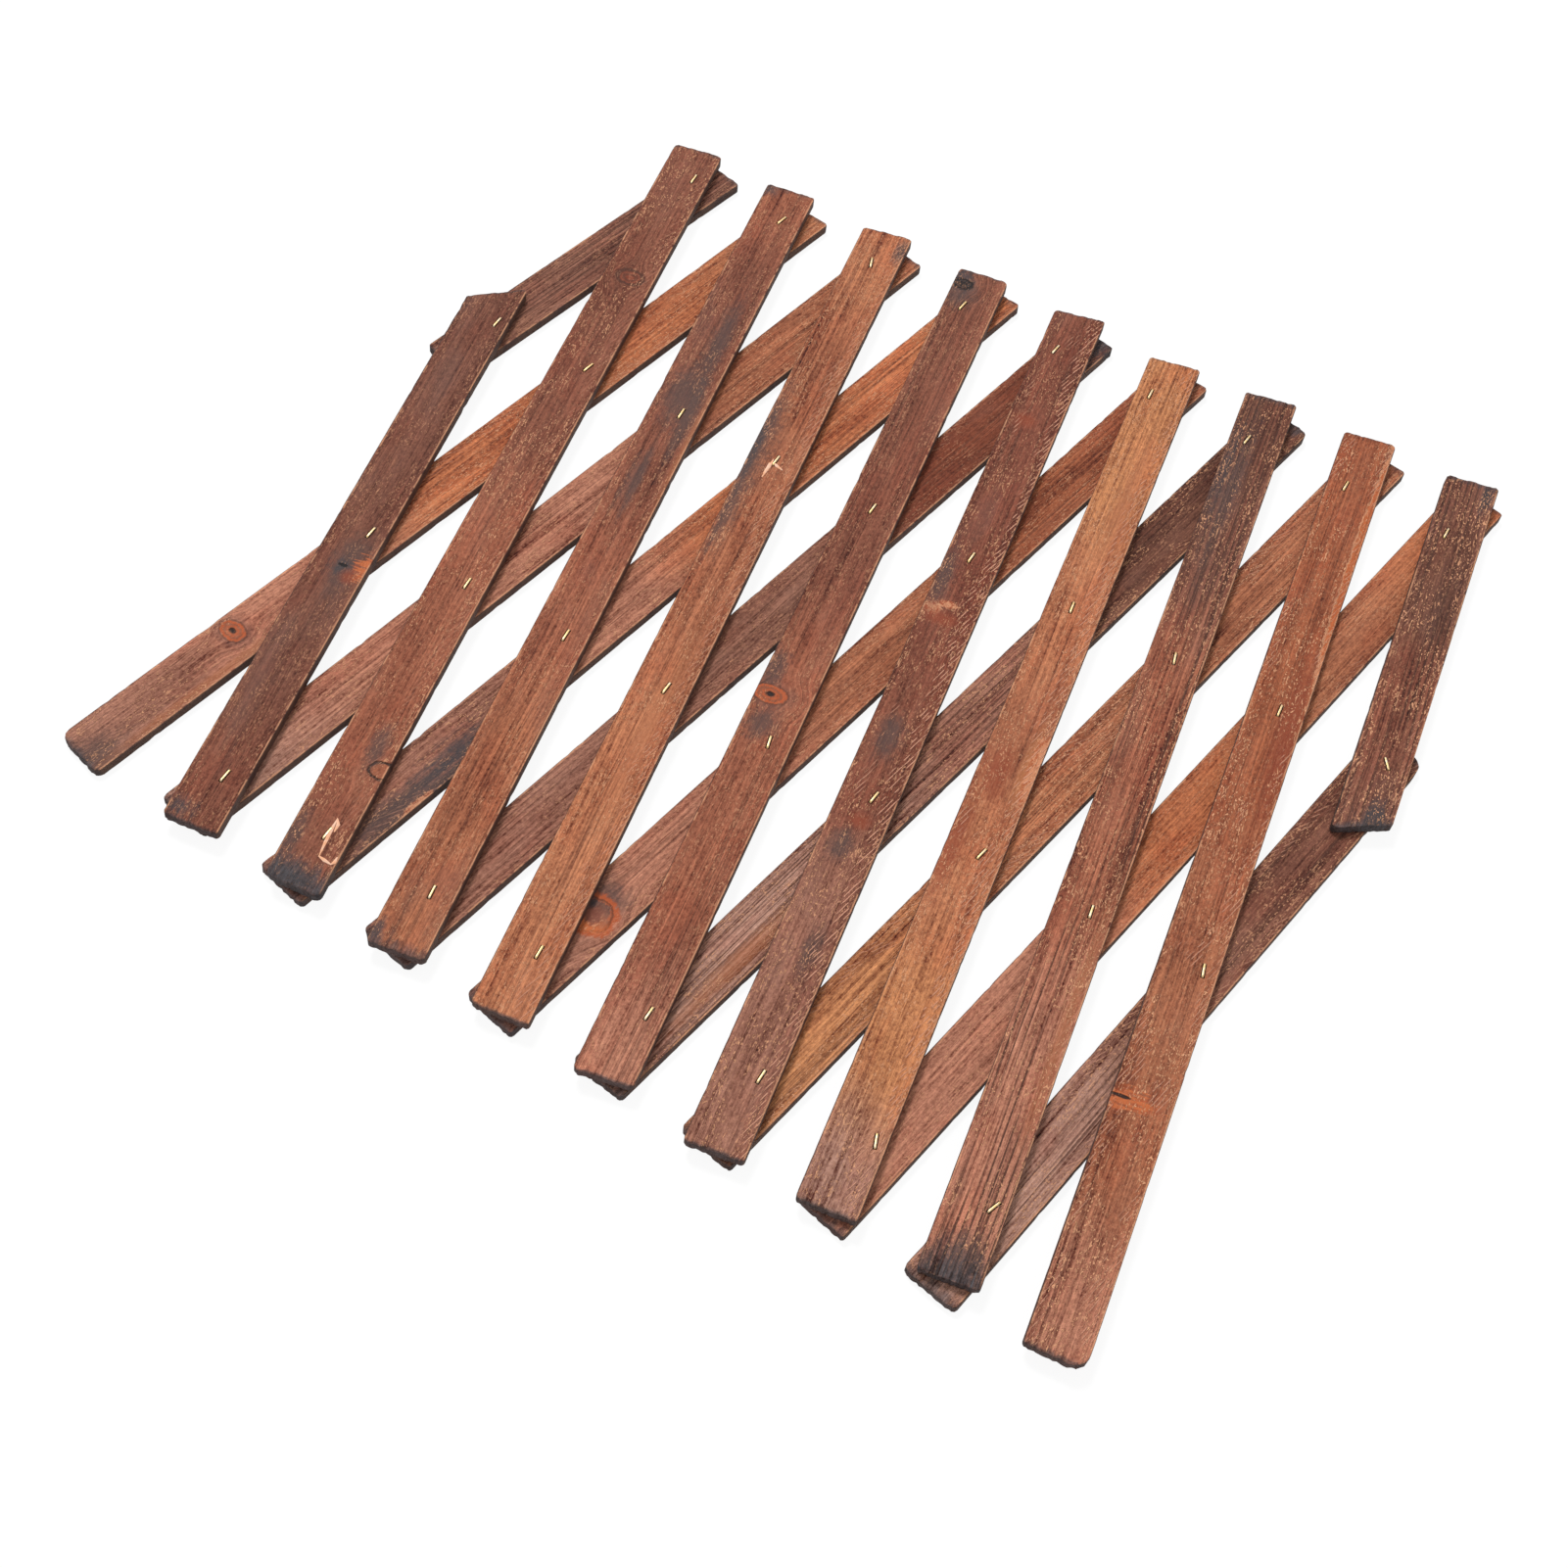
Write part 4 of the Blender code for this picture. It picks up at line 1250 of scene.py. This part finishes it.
class TRELLIS_OT_staples(bpy.types.Operator):
    """Bends and sets the wire staples, one set on each front slat"""

    bl_idname = "trellis.staples"
    bl_label = "Staples"

    def execute(self, context):
        staples = context.scene.trellis_staples
        half_wire = staples.wire_thickness / 2
        tree = staple_tree()
        material = wire_material(staples)
        bodies = frame["record"]["behaviour"]["bodies"]
        for slat in FRONT_SLATS:
            nodes = [n for n in bodies[slat] if n.startswith("staple")]
            crowns = [crown_reading(n) for n in nodes]
            points = bpy.data.meshes.new(f"staples_{slat}")
            points.from_pydata([(c.middle.x, c.middle.y, 0.0) for c in crowns], [], [])
            turns = points.attributes.new(CROWN_TURN, "FLOAT", "POINT")
            turns.data.foreach_set("value", [c.turn for c in crowns])
            values = {
                "Crown Half": crowns[0].half - half_wire,
                "Tip End": crowns[0].reach,
                "Crown Height": CROWN_TOP - half_wire,
                "Tip Height": crowns[0].bottom + half_wire,
                "Wire Width": staples.wire_width,
                "Wire Thickness": staples.wire_thickness,
                "Shoulder": staples.shoulder,
                "Material": material,
            }
            mesh = smoothed(points, tree, values)
            add_piece(f"staples_{slat}", mesh, slat, nodes)
        return {"FINISHED"}


def floor_material(stage):
    """Matt pale floor that the camera sees as white, with the shadow kept."""
    material, g = new_material("pale_floor")
    grain = g.noise(*(c * 90.0 for c in g.split(g.place())))
    tinted = g.mix(grain * 0.02, (*stage.floor_colour, 1.0), FLOOR_GRAIN)
    matt = g.add("ShaderNodeBsdfDiffuse", {"Color": tinted})
    white = g.add("ShaderNodeEmission", {"Color": WHITE, "Strength": stage.glow})
    sockets = {0: g.seen() * stage.glow_share, 1: matt, 2: white}
    g.finish("ShaderNodeOutputMaterial", g.add("ShaderNodeMixShader", sockets))
    return material


def add_floor(stage):
    """A level square just under the lowest slats."""
    mesh = bpy.data.meshes.new("pale_floor")
    half = stage.floor_size / 2
    corners = [(-half, -half, 0.0), (half, -half, 0.0), (half, half, 0.0), (-half, half, 0.0)]
    mesh.from_pydata(corners, [], [(0, 1, 2, 3)])
    mesh.materials.append(floor_material(stage))
    floor = linked("pale_floor", mesh)
    floor.location.z = -SLAT_THICKNESS / 50


def add_sky(stage):
    """Even light from all round, which the camera sees as white."""
    world = bpy.data.worlds.new("pale_sky")
    world.use_nodes = True
    world.node_tree.nodes.clear()
    g = Graph(world.node_tree)
    strength = g.seen() * (1.0 - stage.sky) + stage.sky
    sky = g.add("ShaderNodeBackground", {"Color": WHITE, "Strength": strength})
    g.finish("ShaderNodeOutputWorld", sky)
    bpy.context.scene.world = world


def add_key_light(stage):
    """One large soft light that hangs over the trellis and faces its middle."""
    data = bpy.data.lights.new("key_light", "AREA")
    data.shape = "SQUARE"
    data.size = stage.key_size
    data.energy = stage.key_power
    light = linked("key_light", data)
    light.location = stage.key_place
    light.rotation_euler = (-Vector(stage.key_place)).to_track_quat("-Z", "Y").to_euler()


def add_camera(stage):
    """The camera, turned so that its own up is the one that is set."""
    data = bpy.data.cameras.new("camera")
    data.lens = stage.lens
    data.sensor_width = stage.sensor_width
    data.clip_start = stage.clip_start
    camera = linked("camera", data)
    back = (Vector(stage.camera_place) - Vector(stage.camera_aim)).normalized()
    right = Vector(stage.camera_up).cross(back).normalized()
    turn = Matrix((right, back.cross(right), back)).transposed()
    camera.matrix_world = Matrix.Translation(stage.camera_place) @ turn.to_4x4()
    bpy.context.scene.camera = camera


class TRELLIS_OT_stage(bpy.types.Operator):
    """Sets the pale floor, the soft lights and the camera"""

    bl_idname = "trellis.stage"
    bl_label = "Stage"

    def execute(self, context):
        stage = context.scene.trellis_stage
        add_floor(stage)
        add_sky(stage)
        add_key_light(stage)
        add_camera(stage)
        context.scene.view_settings.view_transform = "Standard"
        return {"FINISHED"}


OPERATORS = (
    TRELLIS_OT_front_slats,
    TRELLIS_OT_back_slats,
    TRELLIS_OT_saw_fibres,
    TRELLIS_OT_torn_slivers,
    TRELLIS_OT_staples,
    TRELLIS_OT_stage,
)
SETTINGS = {
    "trellis_wood": WoodSettings,
    "trellis_wear": WearSettings,
    "trellis_fibres": FibreSettings,
    "trellis_staples": StapleSettings,
    "trellis_stage": StageSettings,
}


class TRELLIS_PT_panel(bpy.types.Panel):
    """Lists the pieces of the trellis"""

    bl_idname = "TRELLIS_PT_panel"
    bl_label = "Expandable Trellis"
    bl_space_type = "VIEW_3D"
    bl_region_type = "UI"
    bl_category = "Trellis"

    def draw(self, context):
        for operator in OPERATORS:
            self.layout.operator(operator.bl_idname)
        for key, group in SETTINGS.items():
            box = self.layout.box()
            for setting in group.__annotations__:
                box.prop(getattr(context.scene, key), setting)


def register():
    for item in (*SETTINGS.values(), *OPERATORS, TRELLIS_PT_panel):
        bpy.utils.register_class(item)
    for key, group in SETTINGS.items():
        setattr(bpy.types.Scene, key, PointerProperty(type=group))


def unregister():
    for key in SETTINGS:
        delattr(bpy.types.Scene, key)
    for item in reversed((*SETTINGS.values(), *OPERATORS, TRELLIS_PT_panel)):
        bpy.utils.unregister_class(item)


def main():
    """Registers the add-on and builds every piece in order."""
    register()
    bpy.ops.trellis.front_slats()
    bpy.ops.trellis.back_slats()
    bpy.ops.trellis.saw_fibres()
    bpy.ops.trellis.torn_slivers()
    bpy.ops.trellis.staples()
    bpy.ops.trellis.stage()


if __name__ == "__main__":
    main()
